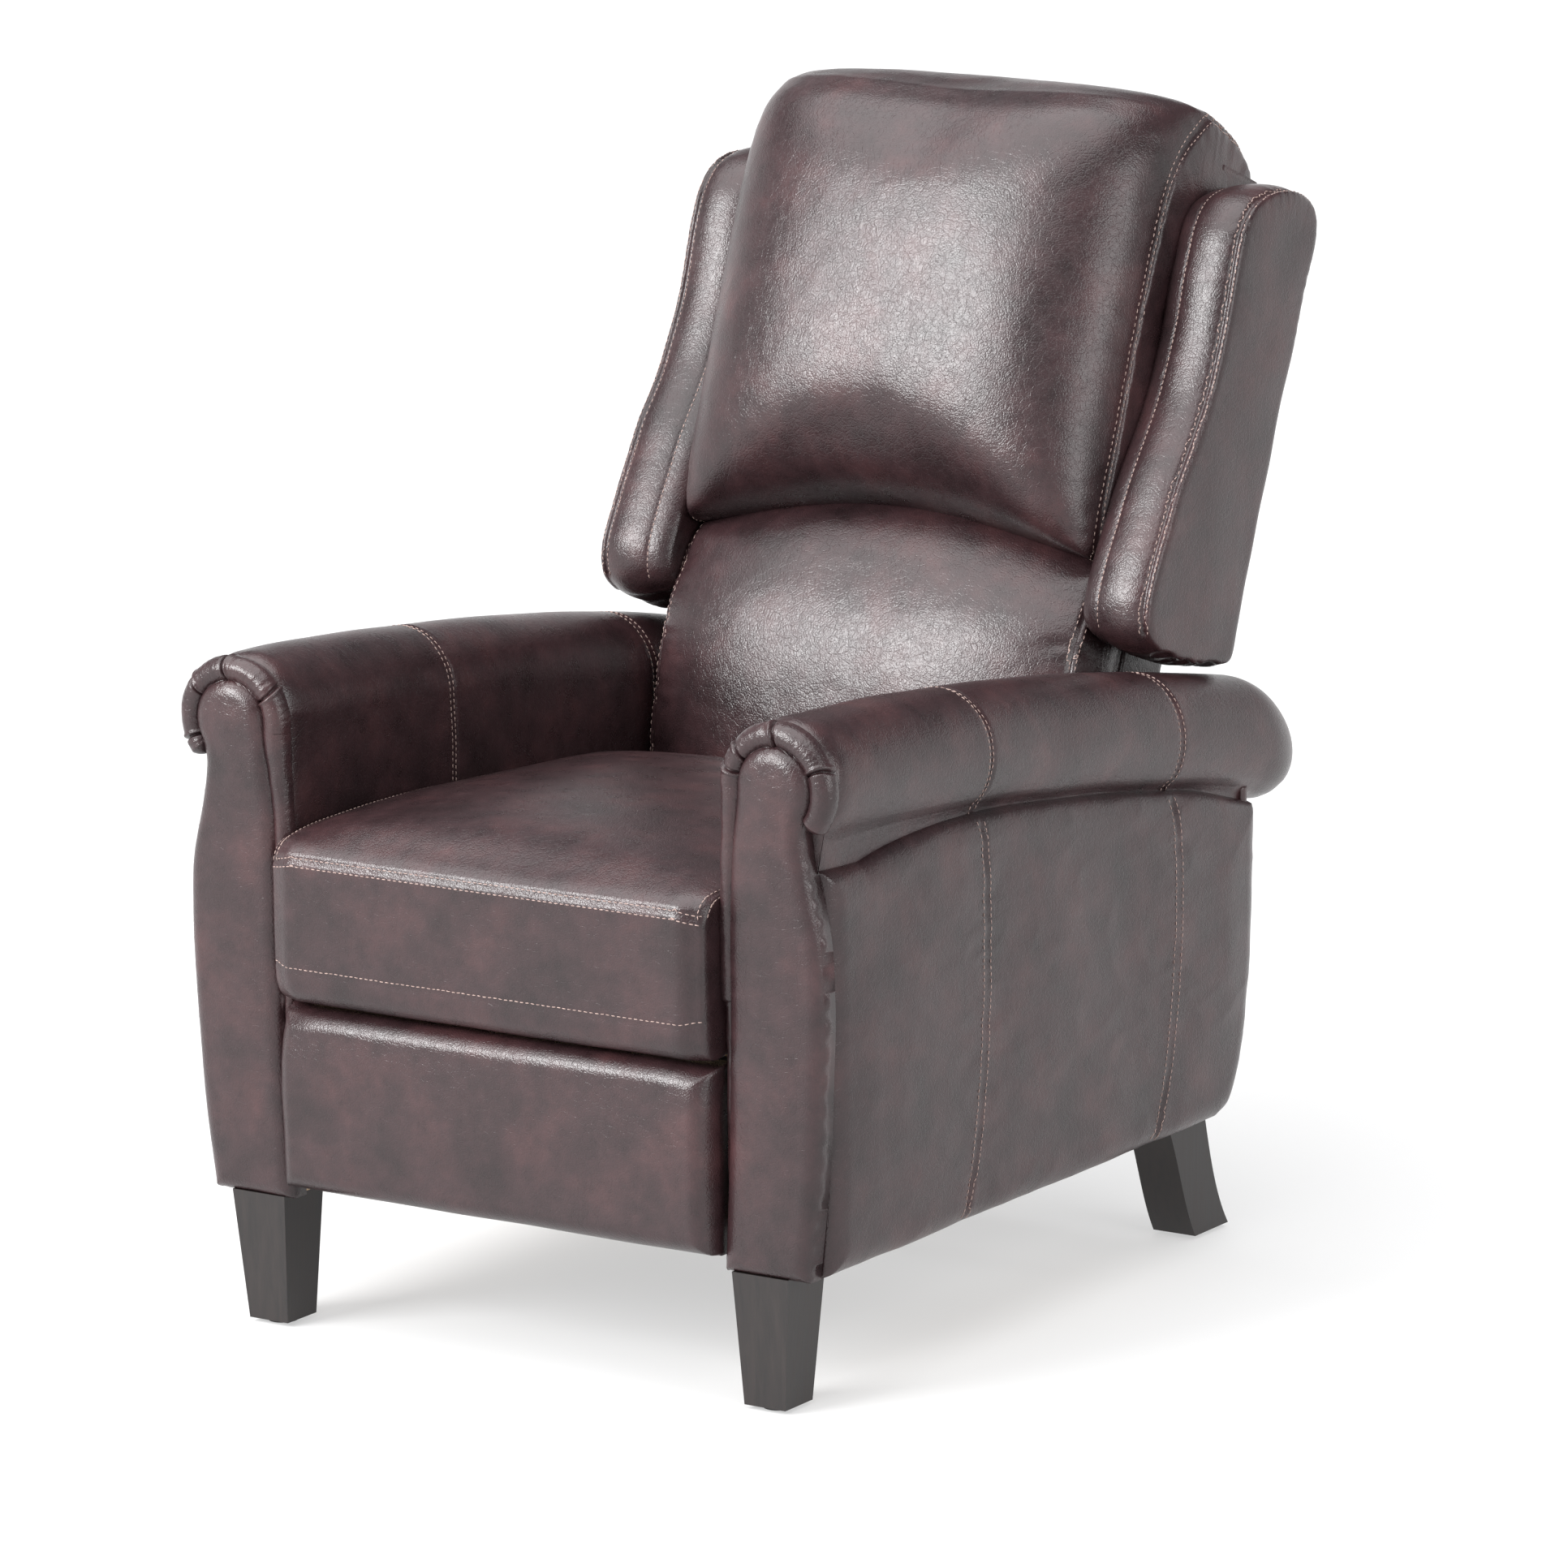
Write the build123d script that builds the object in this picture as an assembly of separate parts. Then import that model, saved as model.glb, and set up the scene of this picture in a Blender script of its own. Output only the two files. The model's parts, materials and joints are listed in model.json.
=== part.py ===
from build123d import *
import os
from math import cos, sin, radians, hypot

# Push-back recliner armchair, in millimetres. +X is the sitter's left, -Y is the front, +Z is up.
# The pieces are drawn with y = 0 at the front faces of the front feet, then moved back to the
# middle of the whole chair when they are written.
CHAIR_MIDDLE_Y = 447.0

# Arms
ARM_INNER_X = 246.0
ARM_OUTER_X = 350.0
ARM_MIDDLE_X = 300.0
PANEL_HEAD_Z = 572.0
PANEL_HEAD_RADIUS = 37.5
BORDER_RADIUS = 9.0
ARM_BOTTOM_Z = 128.0
ROLL_HALF_WIDTH = 55.0
ROLL_HALF_HEIGHT = 60.0
ROLL_FRONT_Y = 17.0
ROLL_REAR_Y = 852.0
ROLL_FRONT_Z = 573.0
ROLL_SLOPE = 0.03
ROLL_CURVE = 1.1875e-4

# Legs
LEG_FOOT = 44.0
LEG_TOP = 60.0
LEG_OUTER_X = 300.0
GLIDE_THICKNESS = 4.0
GLIDE_RADIUS = 14.0
LEG_BOLT_Y = (22.0, 672.0)

# Seat and footrest
CUSHION_HALF_WIDTH = 238.0
SEAT_FRONT_Y = -38.0
SEAT_DECK_Z = 352.0
FOOTREST_HALF_WIDTH = 237.0
FOOTREST_BOTTOM_Z = 140.0
FOOTREST_TOP_Z = 316.0
FOOTREST_FRONT_Y = -35.0
FOOTREST_BOARD_Y = -7.0
FOOTREST_BACK_Y = 8.0

# Back: s runs up the lean, t runs forward out of the frame
BACK_LEAN = 22.0
BACK_ORIGIN_Y = 662.0
BACK_ORIGIN_Z = 340.0
POST_INNER_X = 213.0
POST_OUTER_X = 235.0
WING_INNER_X = 250.0
WING_OUTER_X = 314.0

# Mechanism: plates lie side by side, each with half a millimetre of air to the next
PLATE = 4.5
AIR = 0.5
BASE_PLATE_X = 216.5
SWING_X = BASE_PLATE_X - AIR - PLATE
CARRIAGE_X = SWING_X - AIR - PLATE
REAR_LINK_X = CARRIAGE_X - AIR - PLATE
FRONT_LINK_X = REAR_LINK_X - AIR - PLATE
BRACKET_X = FRONT_LINK_X - AIR - PLATE
PIN_RADIUS = 4.0
BORE_RADIUS = 4.05
HEAD_RADIUS = 7.0
LINK_HALF_WIDTH = 11.0
SWING_LENGTH = 121.4
SWING_REST_ANGLE = 25.0
SWING_BASE_Z = 180.0
SWING_BASE_Y = (240.0, 500.0)
BASE_BOLT_Y = (120.0, 360.0, 600.0)
BASE_BOLT_Z = 172.0
FOOT_PIVOT = (80.0, 300.0)
KNEE_PIVOT = (185.5, 141.9)
BOARD_PIVOT = (20.0, 235.0)
BACK_PIVOT = (690.0, 300.0)
HINGE_PLATE = 5.0

pieces = {}


def roll_z(y):
    """Height of the arm roll's centre line."""
    return ROLL_FRONT_Z - ROLL_SLOPE * y - ROLL_CURVE * y * y


def block(x0, x1, y0, y1, z0, z1):
    size = (x1 - x0, y1 - y0, z1 - z0)
    return Pos((x0 + x1) / 2, (y0 + y1) / 2, (z0 + z1) / 2) * Box(*size)


def rod(y, z, radius, x0, x1):
    """A round bar along X."""
    return Pos((x0 + x1) / 2, y, z) * Rot(0, 90, 0) * Cylinder(radius, x1 - x0)


def upright(x, y, radius, z0, z1):
    """A round bar along Z."""
    return Pos(x, y, (z0 + z1) / 2) * Cylinder(radius, z1 - z0)


def from_side(points, x0, x1):
    """A plate or block whose outline is seen from the chair's side, as (y, z) points."""
    outline = Plane.YZ * make_face(Polyline(*points, close=True))
    return Pos(x0, 0, 0) * extrude(outline, x1 - x0)


def closed_from_side(lines, x0, x1):
    """As from_side, for an outline of lines and curves."""
    return Pos(x0, 0, 0) * extrude(Plane.YZ * make_face(lines), x1 - x0)


def mirrored(solid):
    return mirror(solid, about=Plane.YZ)


def pair(name, solid):
    """A left piece and its mirror image, each a node."""
    pieces[name + "_left"] = [solid]
    pieces[name + "_right"] = [mirrored(solid)]


def both(solids):
    """Left pieces and their mirror images, as one group."""
    return list(solids) + [mirrored(s) for s in solids]


def lean(s, t):
    """A point of the back, from its place up the lean and forward of the frame, as (y, z)."""
    a = radians(BACK_LEAN)
    return (BACK_ORIGIN_Y + s * sin(a) - t * cos(a), BACK_ORIGIN_Z + s * cos(a) + t * sin(a))


def leaned(points):
    return [lean(s, t) for s, t in points]


def link(a, b, x0, bores):
    """A flat bar with round ends between two pivots, bored at the named ones."""
    (ay, az), (by, bz) = a, b
    length = hypot(by - ay, bz - az)
    uy, uz = (by - ay) / length * LINK_HALF_WIDTH, (bz - az) / length * LINK_HALF_WIDTH
    outline = [(ay - uz, az + uy), (by - uz, bz + uy), (by + uz, bz - uy), (ay + uz, az - uy)]
    bar = from_side(outline, x0, x0 + PLATE)
    for y, z in (a, b):
        bar += rod(y, z, LINK_HALF_WIDTH, x0, x0 + PLATE)
    for y, z in bores:
        bar -= rod(y, z, BORE_RADIUS, x0 - 1, x0 + PLATE + 1)
    return bar


def along(a, b, distance):
    """The point a given distance from a towards b."""
    share = distance / hypot(b[0] - a[0], b[1] - a[1])
    return (a[0] + (b[0] - a[0]) * share, a[1] + (b[1] - a[1]) * share)


def rivet(y, z, x_in, x_out, inner_head, outer_head):
    """A pin along X with a flat head past either end."""
    pin = rod(y, z, PIN_RADIUS, x_in, x_out)
    if inner_head:
        pin += rod(y, z, HEAD_RADIUS, x_in - 2.5, x_in)
    if outer_head:
        pin += rod(y, z, HEAD_RADIUS, x_out, x_out + 2.5)
    return pin


# ---------------------------------------------------------------- arms
def arm_roll():
    """The padded top roll: an oval that follows the arm's slope and closes in a round end."""
    stations = [(ROLL_FRONT_Y, 1.0), (200, 1.0), (400, 1.0), (600, 1.0), (740, 0.99)]
    stations += [(800, 0.93), (835, 0.72), (ROLL_REAR_Y, 0.34)]
    sections = []
    for y, share in stations:
        oval = Ellipse(ROLL_HALF_WIDTH * share, ROLL_HALF_HEIGHT * share)
        sections.append(Plane((ARM_MIDDLE_X, y, roll_z(y)), x_dir=(1, 0, 0), z_dir=(0, 1, 0)) * oval)
    return loft(sections, ruled=True)


def under_roll(y0, y1, drop, steps=4):
    """Points along the underside of the roll, from y0 to y1."""
    ys = [y0 + (y1 - y0) * i / steps for i in range(steps + 1)]
    return [(y, roll_z(y) - drop) for y in ys]


def arm_outer_panel():
    rear = [(752, 300), (738, 190), (718, 142), (694, ARM_BOTTOM_Z)]
    outline = under_roll(30, 757, 58) + rear + [(30, ARM_BOTTOM_Z)]
    panel = from_side(outline, 330, ARM_OUTER_X)
    rims = panel.edges().filter_by(lambda e: abs(e.center().X - ARM_OUTER_X) < 0.01)
    return fillet(rims, 8)


def arm_inner_panel():
    outline = under_roll(20, 735, 40) + [(706, 205), (20, 205)]
    return from_side(outline, ARM_INNER_X, ARM_INNER_X + 12)


def arm_rear_panel():
    """The padded strip that closes the arm's back behind its post."""
    outside = [(716, 142), (736, 190), (750, 300), (754, roll_z(754) - 62)]
    inside = [(739, roll_z(739) - 62), (737, 375), (708.5, 205), (696, ARM_BOTTOM_Z)]
    return from_side(outside + inside, 244.5, 329.5)


def arm_front_panel():
    """The padded keyhole-shaped panel on the arm's front."""
    outer_edge = [(328, ARM_BOTTOM_Z + 4), (340, 230), (346, 350), (341, 440), (329, 500), (322, 545)]
    inner_edge = [(276, 545), (260, 500), (252, 372), (244, ARM_BOTTOM_Z + 4)]
    face = make_face(Polyline(*outer_edge, *inner_edge, close=True))
    face += Pos(ARM_MIDDLE_X, PANEL_HEAD_Z) * Circle(PANEL_HEAD_RADIUS)
    panel = Plane.XZ.offset(12) * face
    solid = extrude(panel, -26)
    rims = solid.edges().filter_by(lambda e: abs(e.center().Y + 12) < 0.01)
    return fillet(rims, 6)


def ruched_border():
    """The gathered roll of leather round the head of the front panel."""
    reach = PANEL_HEAD_RADIUS + BORDER_RADIUS + 0.5
    path = Plane.XZ.offset(-6) * CenterArc((ARM_MIDDLE_X, PANEL_HEAD_Z), reach, -45, 235)
    return sweep(Plane(path @ 0, z_dir=path % 0) * Circle(BORDER_RADIUS), path=path)


def arm_posts():
    front = block(262, 326, 16, 52, 200, roll_z(52) - 102)
    rear = from_side([(665, 200), (701, 200), (730, 375), (694, 375)], 262, 326)
    return [front, rear]


def arm_rails():
    top = from_side(under_roll(16, 735, 62) + under_roll(735, 16, 97), 262, 326)
    bottom_outline = [(16, ARM_BOTTOM_Z), (690, ARM_BOTTOM_Z), (701, 199.5), (16, 199.5)]
    bottom = from_side(bottom_outline, ARM_INNER_X, 328)
    for y in LEG_BOLT_Y:
        bottom -= upright(283, y, PIN_RADIUS, ARM_BOTTOM_Z - 1, 190)
    for y in BASE_BOLT_Y:
        bottom -= rod(y, BASE_BOLT_Z, PIN_RADIUS, ARM_INNER_X - 1, 300)
    return [top, bottom]


# ---------------------------------------------------------------- legs


def front_leg():
    foot = Pos(LEG_OUTER_X - LEG_FOOT / 2, LEG_FOOT / 2, GLIDE_THICKNESS) * Rectangle(LEG_FOOT, LEG_FOOT)
    top = Pos(280, LEG_TOP / 2 - 8, ARM_BOTTOM_Z) * Rectangle(LEG_TOP, LEG_TOP)
    return loft([foot, top]) - upright(283, LEG_BOLT_Y[0], PIN_RADIUS, 90, ARM_BOTTOM_Z + 1)


def rear_leg():
    """A sabre leg that sweeps back towards the floor."""
    z0 = GLIDE_THICKNESS
    front = Spline((644, ARM_BOTTOM_Z), (665, 78), (681, 34), (696, z0))
    floor = Line((696, z0), (757, z0))
    rear = Spline((757, z0), (737, 41), (724, 80), (712, ARM_BOTTOM_Z))
    top = Line((712, ARM_BOTTOM_Z), (644, ARM_BOTTOM_Z))
    outline = Plane.YZ * make_face([front, floor, rear, top])
    leg = Pos(261, 0, 0) * extrude(outline, 47)
    return leg - upright(283, LEG_BOLT_Y[1], PIN_RADIUS, 90, ARM_BOTTOM_Z + 1)


def glides():
    places = [(LEG_OUTER_X - LEG_FOOT / 2, LEG_FOOT / 2), (284.5, 726)]
    return [upright(x, y, GLIDE_RADIUS, 0, GLIDE_THICKNESS) for x, y in places]


def leg_bolts():
    return [upright(283, y, PIN_RADIUS, 90, 190) for y in LEG_BOLT_Y]


# ---------------------------------------------------------------- base
def base_angle():
    """The steel angle that carries the mechanism, bolted to the inside of the arm."""
    web = block(242, ARM_INNER_X, 60, 655, 150, 190)
    foot = block(213.5, 242, 60, 655, 150, 154)
    angle = web + foot
    for y in BASE_BOLT_Y:
        angle -= rod(y, BASE_BOLT_Z, PIN_RADIUS, 240, ARM_INNER_X + 1)
    return angle


def base_bolts():
    bolts = []
    for y in BASE_BOLT_Y:
        shank = rod(y, BASE_BOLT_Z, PIN_RADIUS, 242, 300)
        bolts.append(shank + rod(y, BASE_BOLT_Z, HEAD_RADIUS, 237, 242))
    return bolts


def base_link_plates():
    """The upstands that hold the lower pins of the swing links."""
    plates = []
    for y in SWING_BASE_Y:
        outline = [(y - 22, 154), (y + 22, 154), (y + 13, 194), (y - 13, 194)]
        plate = from_side(outline, BASE_PLATE_X, BASE_PLATE_X + PLATE)
        plates.append(plate - rod(y, SWING_BASE_Z, PIN_RADIUS, BASE_PLATE_X - 1, BASE_PLATE_X + PLATE + 1))
    return plates


def base_link_pins():
    x_in = SWING_X - 0.3
    return [rivet(y, SWING_BASE_Z, x_in, BASE_PLATE_X + PLATE, True, True) for y in SWING_BASE_Y]


def base_tubes():
    return [rod(y, 142, 8, -240, 240) for y in (330.0, 615.0)]


def back_pivot_brackets():
    """The plates that stand on the base angles and carry the back's two hinge pins."""
    y, z = BACK_PIVOT
    foot = [(580, 154), (640, 154), (648, 212)]
    outline = foot + [(y + 16, z - 8), (y + 8, z + 14), (y - 8, z + 14), (y - 20, z - 4)]
    plate = from_side(outline, 214, 219)
    return [plate - rod(y, z, PIN_RADIUS + 2, 213, 220)]


def back_pivot_pins():
    y, z = BACK_PIVOT
    pin = rod(y, z, PIN_RADIUS + 2, 207.7, 219)
    return [pin + rod(y, z, 10, 205.2, 207.7) + rod(y, z, 10, 219, 222)]


def rear_rail():
    return block(-ARM_INNER_X, ARM_INNER_X, 660, 686, 150, 198)


def rear_dust_panel():
    """The thin black board that stands on the back of the rear rail and hides the mechanism."""
    return block(-204, 204, 686, 689, 160, 284)


def rear_apron():
    outside = [(706, 130), (736, 190), (748, 250), (746, 268)]
    outline = [(690, 130)] + outside + [(731, 268), (728, 250), (716, 190)]
    return from_side(outline, -243, 243)


# ---------------------------------------------------------------- seat carriage
def swing_top(y):
    a = radians(SWING_REST_ANGLE)
    return (y + SWING_LENGTH * sin(a), SWING_BASE_Z + SWING_LENGTH * cos(a))


def swing_link(y):
    base, top = (y, SWING_BASE_Z), swing_top(y)
    return link(base, top, SWING_X, [base, top])


def swing_tube(y):
    """The torque tube that ties a left swing link to its right one."""
    middle = along((y, SWING_BASE_Z), swing_top(y), SWING_LENGTH / 2)
    return rod(middle[0], middle[1], 8, -SWING_X, SWING_X)


def carriage_plate():
    top = [(62, 284), (62, 345), (462, 345), (476, 312), (566, 306), (572, 290)]
    outline = top + [(562, 276), (272, 276), (252, 284)]
    plate = from_side(outline, CARRIAGE_X, CARRIAGE_X + PLATE)
    for y, z in [FOOT_PIVOT] + [swing_top(y) for y in SWING_BASE_Y]:
        plate -= rod(y, z, PIN_RADIUS, CARRIAGE_X - 1, CARRIAGE_X + PLATE + 1)
    return plate


def carriage_pins():
    """The pins of the swing links' upper ends and of the footrest's rear links."""
    upper = [rivet(*swing_top(y), CARRIAGE_X, SWING_X + PLATE + 0.3, False, True) for y in SWING_BASE_Y]
    return upper + [rivet(*FOOT_PIVOT, REAR_LINK_X - 0.3, CARRIAGE_X + PLATE, True, False)]


def seat_side_rail():
    return block(CARRIAGE_X + PLATE, 233, 37, 466, 312, 345)


def seat_cross_rails():
    """The seat frame's front and rear rails."""
    front = block(-233, 233, 14, 36.5, 322, 345)
    rear = block(-CARRIAGE_X, CARRIAGE_X, 440, 462, 312, 345)
    return [front, rear]


def sinuous_wire(length, bends, reach, radius):
    """A zigzag spring wire in the XY plane, running along +Y from the origin."""
    step = length / (bends + 1)
    points = [(0, 0)]
    points += [(reach if i % 2 else -reach, step * (i + 0.5)) for i in range(bends + 1)]
    points += [(0, length)]
    path = FilletPolyline(*points, radius=step * 0.3)
    return sweep(Plane(path @ 0, z_dir=path % 0) * Circle(radius), path=path)


def seat_springs():
    wire = sinuous_wire(426, 10, 20, 1.7)
    return [Pos(x, 25, 347) * wire for x in (-140, -70, 0, 70, 140)]


def seat_cushion():
    """A box cushion with a deep rolled nose in front of the seat box."""
    nose = [(SEAT_FRONT_Y + 12, 324), (SEAT_FRONT_Y + 1, 360), (SEAT_FRONT_Y, 400)]
    nose += [(-34, 440), (-16, 463), (20, 476)]
    lines = [
        Spline(*nose),
        Spline((20, 476), (150, 484), (350, 480), (512, 468)),
        Line((512, 468), (465, SEAT_DECK_Z)),
        Line((465, SEAT_DECK_Z), (10, SEAT_DECK_Z)),
        Line((10, SEAT_DECK_Z), (8, 324)),
        Line((8, 324), (SEAT_FRONT_Y + 12, 324)),
    ]
    return closed_from_side(lines, -CUSHION_HALF_WIDTH, CUSHION_HALF_WIDTH)


# ---------------------------------------------------------------- footrest
def footrest_rear_link():
    return link(FOOT_PIVOT, KNEE_PIVOT, REAR_LINK_X, [FOOT_PIVOT])


def footrest_front_link():
    return link(KNEE_PIVOT, BOARD_PIVOT, FRONT_LINK_X, [KNEE_PIVOT])


def footrest_rear_tube():
    y, z = along(FOOT_PIVOT, KNEE_PIVOT, 60)
    return rod(y, z, 7, -REAR_LINK_X, REAR_LINK_X)


def footrest_front_tube():
    y, z = along(BOARD_PIVOT, KNEE_PIVOT, 55)
    return rod(y, z, 7, -FRONT_LINK_X, FRONT_LINK_X)


def knee_pins():
    """Pins welded to the rear links, on which the front links turn."""
    y, z = KNEE_PIVOT
    return [rivet(y, z, FRONT_LINK_X - 0.3, REAR_LINK_X, True, False)]


def board_pins():
    """Pins welded to the front links, on which the footrest board turns."""
    y, z = BOARD_PIVOT
    return [rivet(y, z, BRACKET_X - 0.3, FRONT_LINK_X, True, False)]


def footrest_bracket():
    y, z = BOARD_PIVOT
    flange_y = FOOTREST_BACK_Y + 3
    outline = [(flange_y, z - 40), (flange_y, z + 40), (y + 12, z + 12), (y + 12, z - 12)]
    ear = from_side(outline, BRACKET_X, BRACKET_X + PLATE)
    flange = block(BRACKET_X - 26, BRACKET_X + PLATE, FOOTREST_BACK_Y, flange_y, z - 40, z + 40)
    return ear + flange - rod(y, z, BORE_RADIUS, BRACKET_X - 1, BRACKET_X + PLATE + 1)


def footrest_board():
    return block(-225, 225, FOOTREST_BOARD_Y, FOOTREST_BACK_Y, FOOTREST_BOTTOM_Z + 8, FOOTREST_TOP_Z - 8)


def footrest_pad():
    half = FOOTREST_HALF_WIDTH
    pad = block(-half, half, FOOTREST_FRONT_Y, FOOTREST_BOARD_Y, FOOTREST_BOTTOM_Z, FOOTREST_TOP_Z)
    rims = pad.edges().filter_by(lambda e: abs(e.center().Y - FOOTREST_FRONT_Y) < 0.01)
    return fillet(rims, 12)


# ---------------------------------------------------------------- back
def back_post():
    """A shaped plywood side whose foot kicks back to the hinge."""
    upper = leaned([(-20, 45), (690, 45), (690, 0), (196, 0)])
    return from_side(upper + [(731, 474), (739, 338), (700, 330)], POST_INNER_X, POST_OUTER_X)


def back_rails():
    """Bottom, middle and top cross rails; the bottom one fits between the hinge plates."""
    rails = []
    for s, half in ((0, POST_INNER_X - HINGE_PLATE), (322, POST_INNER_X), (648, POST_INNER_X)):
        rails.append(from_side(leaned([(s, 2), (s + 38, 2), (s + 38, 40), (s, 40)]), -half, half))
    return rails


def back_springs():
    """Vertical sinuous springs stapled to the fronts of the three back rails."""
    wire = sinuous_wire(650, 15, 20, 1.7)
    y, z = lean(20, 41.9)
    return [Pos(x, y, z) * Rot(90 - BACK_LEAN, 0, 0) * wire for x in (-120, -40, 40, 120)]


def outside_back_panel():
    outer = leaned([(700, -9), (196, -9)]) + [(750, 470), (753, 300)]
    inner = [(743, 300), (741.5, 470)] + leaned([(192, -1), (700, -1)])
    return from_side(outer + inner, -POST_OUTER_X, POST_OUTER_X)


def hinge_plate():
    """The steel plate screwed inside the back post, hung on the base's pivot pin."""
    y, z = BACK_PIVOT
    outline = [(y - 15, z - 6), (y, z - 15), (y + 15, z - 6), (y + 25, 420), (y - 15, 420), (y - 42, 350)]
    plate = from_side(outline, POST_INNER_X - HINGE_PLATE, POST_INNER_X)
    return plate - rod(y, z, PIN_RADIUS + 2.05, POST_INNER_X - 6, POST_INNER_X + 1)


def lumbar_cushion():
    front = [(-45, 176), (60, 182), (150, 178), (227, 166), (300, 150), (330, 132)]
    lines = [
        Spline(*leaned(front)),
        Line(lean(330, 132), lean(330, 47)),
        Line(lean(330, 47), lean(-18, 47)),
        Line(lean(-18, 47), lean(-45, 70)),
        Line(lean(-45, 70), lean(-45, 176)),
    ]
    return closed_from_side(lines, -233, 233)


def head_cushion():
    """The overhanging upper cushion, carried over the top of the back frame."""
    front = [(336, 134), (342, 195), (400, 226), (480, 234), (562, 233), (650, 236), (700, 234)]
    top = [(700, 234), (731, 217), (752, 165), (760, 105), (752, 48), (728, 8), (702, -7)]
    lines = [
        Spline(*leaned(front)),
        Spline(*leaned(top)),
        Line(lean(702, -7), lean(702, 47)),
        Line(lean(702, 47), lean(336, 47)),
        Line(lean(336, 47), lean(336, 134)),
    ]
    return closed_from_side(lines, -233.5, 233.5)


def wing_outline():
    rear = [(580, -14), (470, -10), (330, -8), (285, -8), (246, -4), (232, 22)]
    front = [(224, 60), (221, 100), (226, 134), (255, 154), (291, 157), (372, 145), (462, 122)]
    front += [(548, 118), (620, 118)]
    top = [(662, 95), (683, 42), (672, -2), (640, -14)]
    return Spline(*leaned(rear + front + top), periodic=True)


def wing_pad():
    pad = closed_from_side(wing_outline(), WING_INNER_X, WING_OUTER_X)
    return fillet(pad.edges().filter_by(lambda e: abs(e.center().X - WING_OUTER_X) < 0.01), 12)


def wing_board():
    outline = leaned([(262, 12), (262, 108), (620, 96), (650, 60), (640, 12)])
    return from_side(outline, POST_OUTER_X, WING_INNER_X)


# ---------------------------------------------------------------- the whole chair
def build_arms():
    pair("arm_roll", arm_roll())
    pair("arm_outer_panel", arm_outer_panel())
    pair("arm_inner_panel", arm_inner_panel())
    pair("arm_rear_panel", arm_rear_panel())
    pair("arm_front_panel", arm_front_panel())
    pair("arm_ruched_border", ruched_border())
    pieces["arm_posts"] = both(arm_posts())
    top, bottom = arm_rails()
    pieces["arm_top_rails"] = both([top])
    pieces["arm_bottom_rails"] = both([bottom])


def build_legs_and_base():
    pair("front_leg", front_leg())
    pair("rear_leg", rear_leg())
    pieces["leg_glides"] = both(glides())
    pieces["leg_bolts"] = both(leg_bolts())
    pieces["rear_rail"] = [rear_rail()]
    pieces["rear_dust_panel"] = [rear_dust_panel()]
    pieces["rear_apron"] = [rear_apron()]
    pieces["base_angles"] = both([base_angle()])
    pieces["base_bolts"] = both(base_bolts())
    pieces["base_tubes"] = base_tubes()
    pieces["base_link_plates"] = both(base_link_plates())
    pieces["base_link_pins"] = both(base_link_pins())
    pieces["back_pivot_brackets"] = both(back_pivot_brackets())
    pieces["back_pivot_pins"] = both(back_pivot_pins())


def build_seat():
    for name, y in zip(("front", "rear"), SWING_BASE_Y):
        pieces[name + "_swing_links"] = both([swing_link(y)])
        pieces[name + "_swing_tube"] = [swing_tube(y)]
    pieces["carriage_plates"] = both([carriage_plate()])
    pieces["carriage_pins"] = both(carriage_pins())
    pieces["seat_side_rails"] = both([seat_side_rail()])
    pieces["seat_cross_rails"] = seat_cross_rails()
    pieces["seat_springs"] = seat_springs()
    pieces["seat_cushion"] = [seat_cushion()]


def build_footrest():
    pieces["footrest_rear_links"] = both([footrest_rear_link()])
    pieces["footrest_rear_tube"] = [footrest_rear_tube()]
    pieces["footrest_knee_pins"] = both(knee_pins())
    pieces["footrest_front_links"] = both([footrest_front_link()])
    pieces["footrest_front_tube"] = [footrest_front_tube()]
    pieces["footrest_board_pins"] = both(board_pins())
    pieces["footrest_brackets"] = both([footrest_bracket()])
    pieces["footrest_board"] = [footrest_board()]
    pieces["footrest_pad"] = [footrest_pad()]


def build_back():
    pieces["back_posts"] = both([back_post()])
    pieces["back_rails"] = back_rails()
    pieces["back_springs"] = back_springs()
    pieces["back_hinge_plates"] = both([hinge_plate()])
    pieces["outside_back_panel"] = [outside_back_panel()]
    pieces["wing_boards"] = both([wing_board()])
    pair("wing_pad", wing_pad())
    pieces["lumbar_cushion"] = [lumbar_cushion()]
    pieces["head_cushion"] = [head_cushion()]


build_arms()
build_legs_and_base()
build_seat()
build_footrest()
build_back()

os.makedirs("parts", exist_ok=True)
for name, solids in pieces.items():
    placed = [Pos(0, -CHAIR_MIDDLE_Y, 0) * solid for group in solids for solid in group.solids()]
    export_step(placed[0] if len(placed) == 1 else Compound(placed), f"parts/{name}.step")

lows = [group.bounding_box().min for solids in pieces.values() for group in solids]
highs = [group.bounding_box().max for solids in pieces.values() for group in solids]
print("pieces", len(pieces))
print("y from", min(p.Y for p in lows), "to", max(p.Y for p in highs), "middle", CHAIR_MIDDLE_Y)
print("height", max(p.Z for p in highs), "half width", max(p.X for p in highs))
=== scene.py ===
import json
import math

import bmesh
import bpy
import numpy as np
from mathutils import Matrix, Vector
from mathutils.bvhtree import BVHTree
from mathutils.kdtree import KDTree

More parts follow.
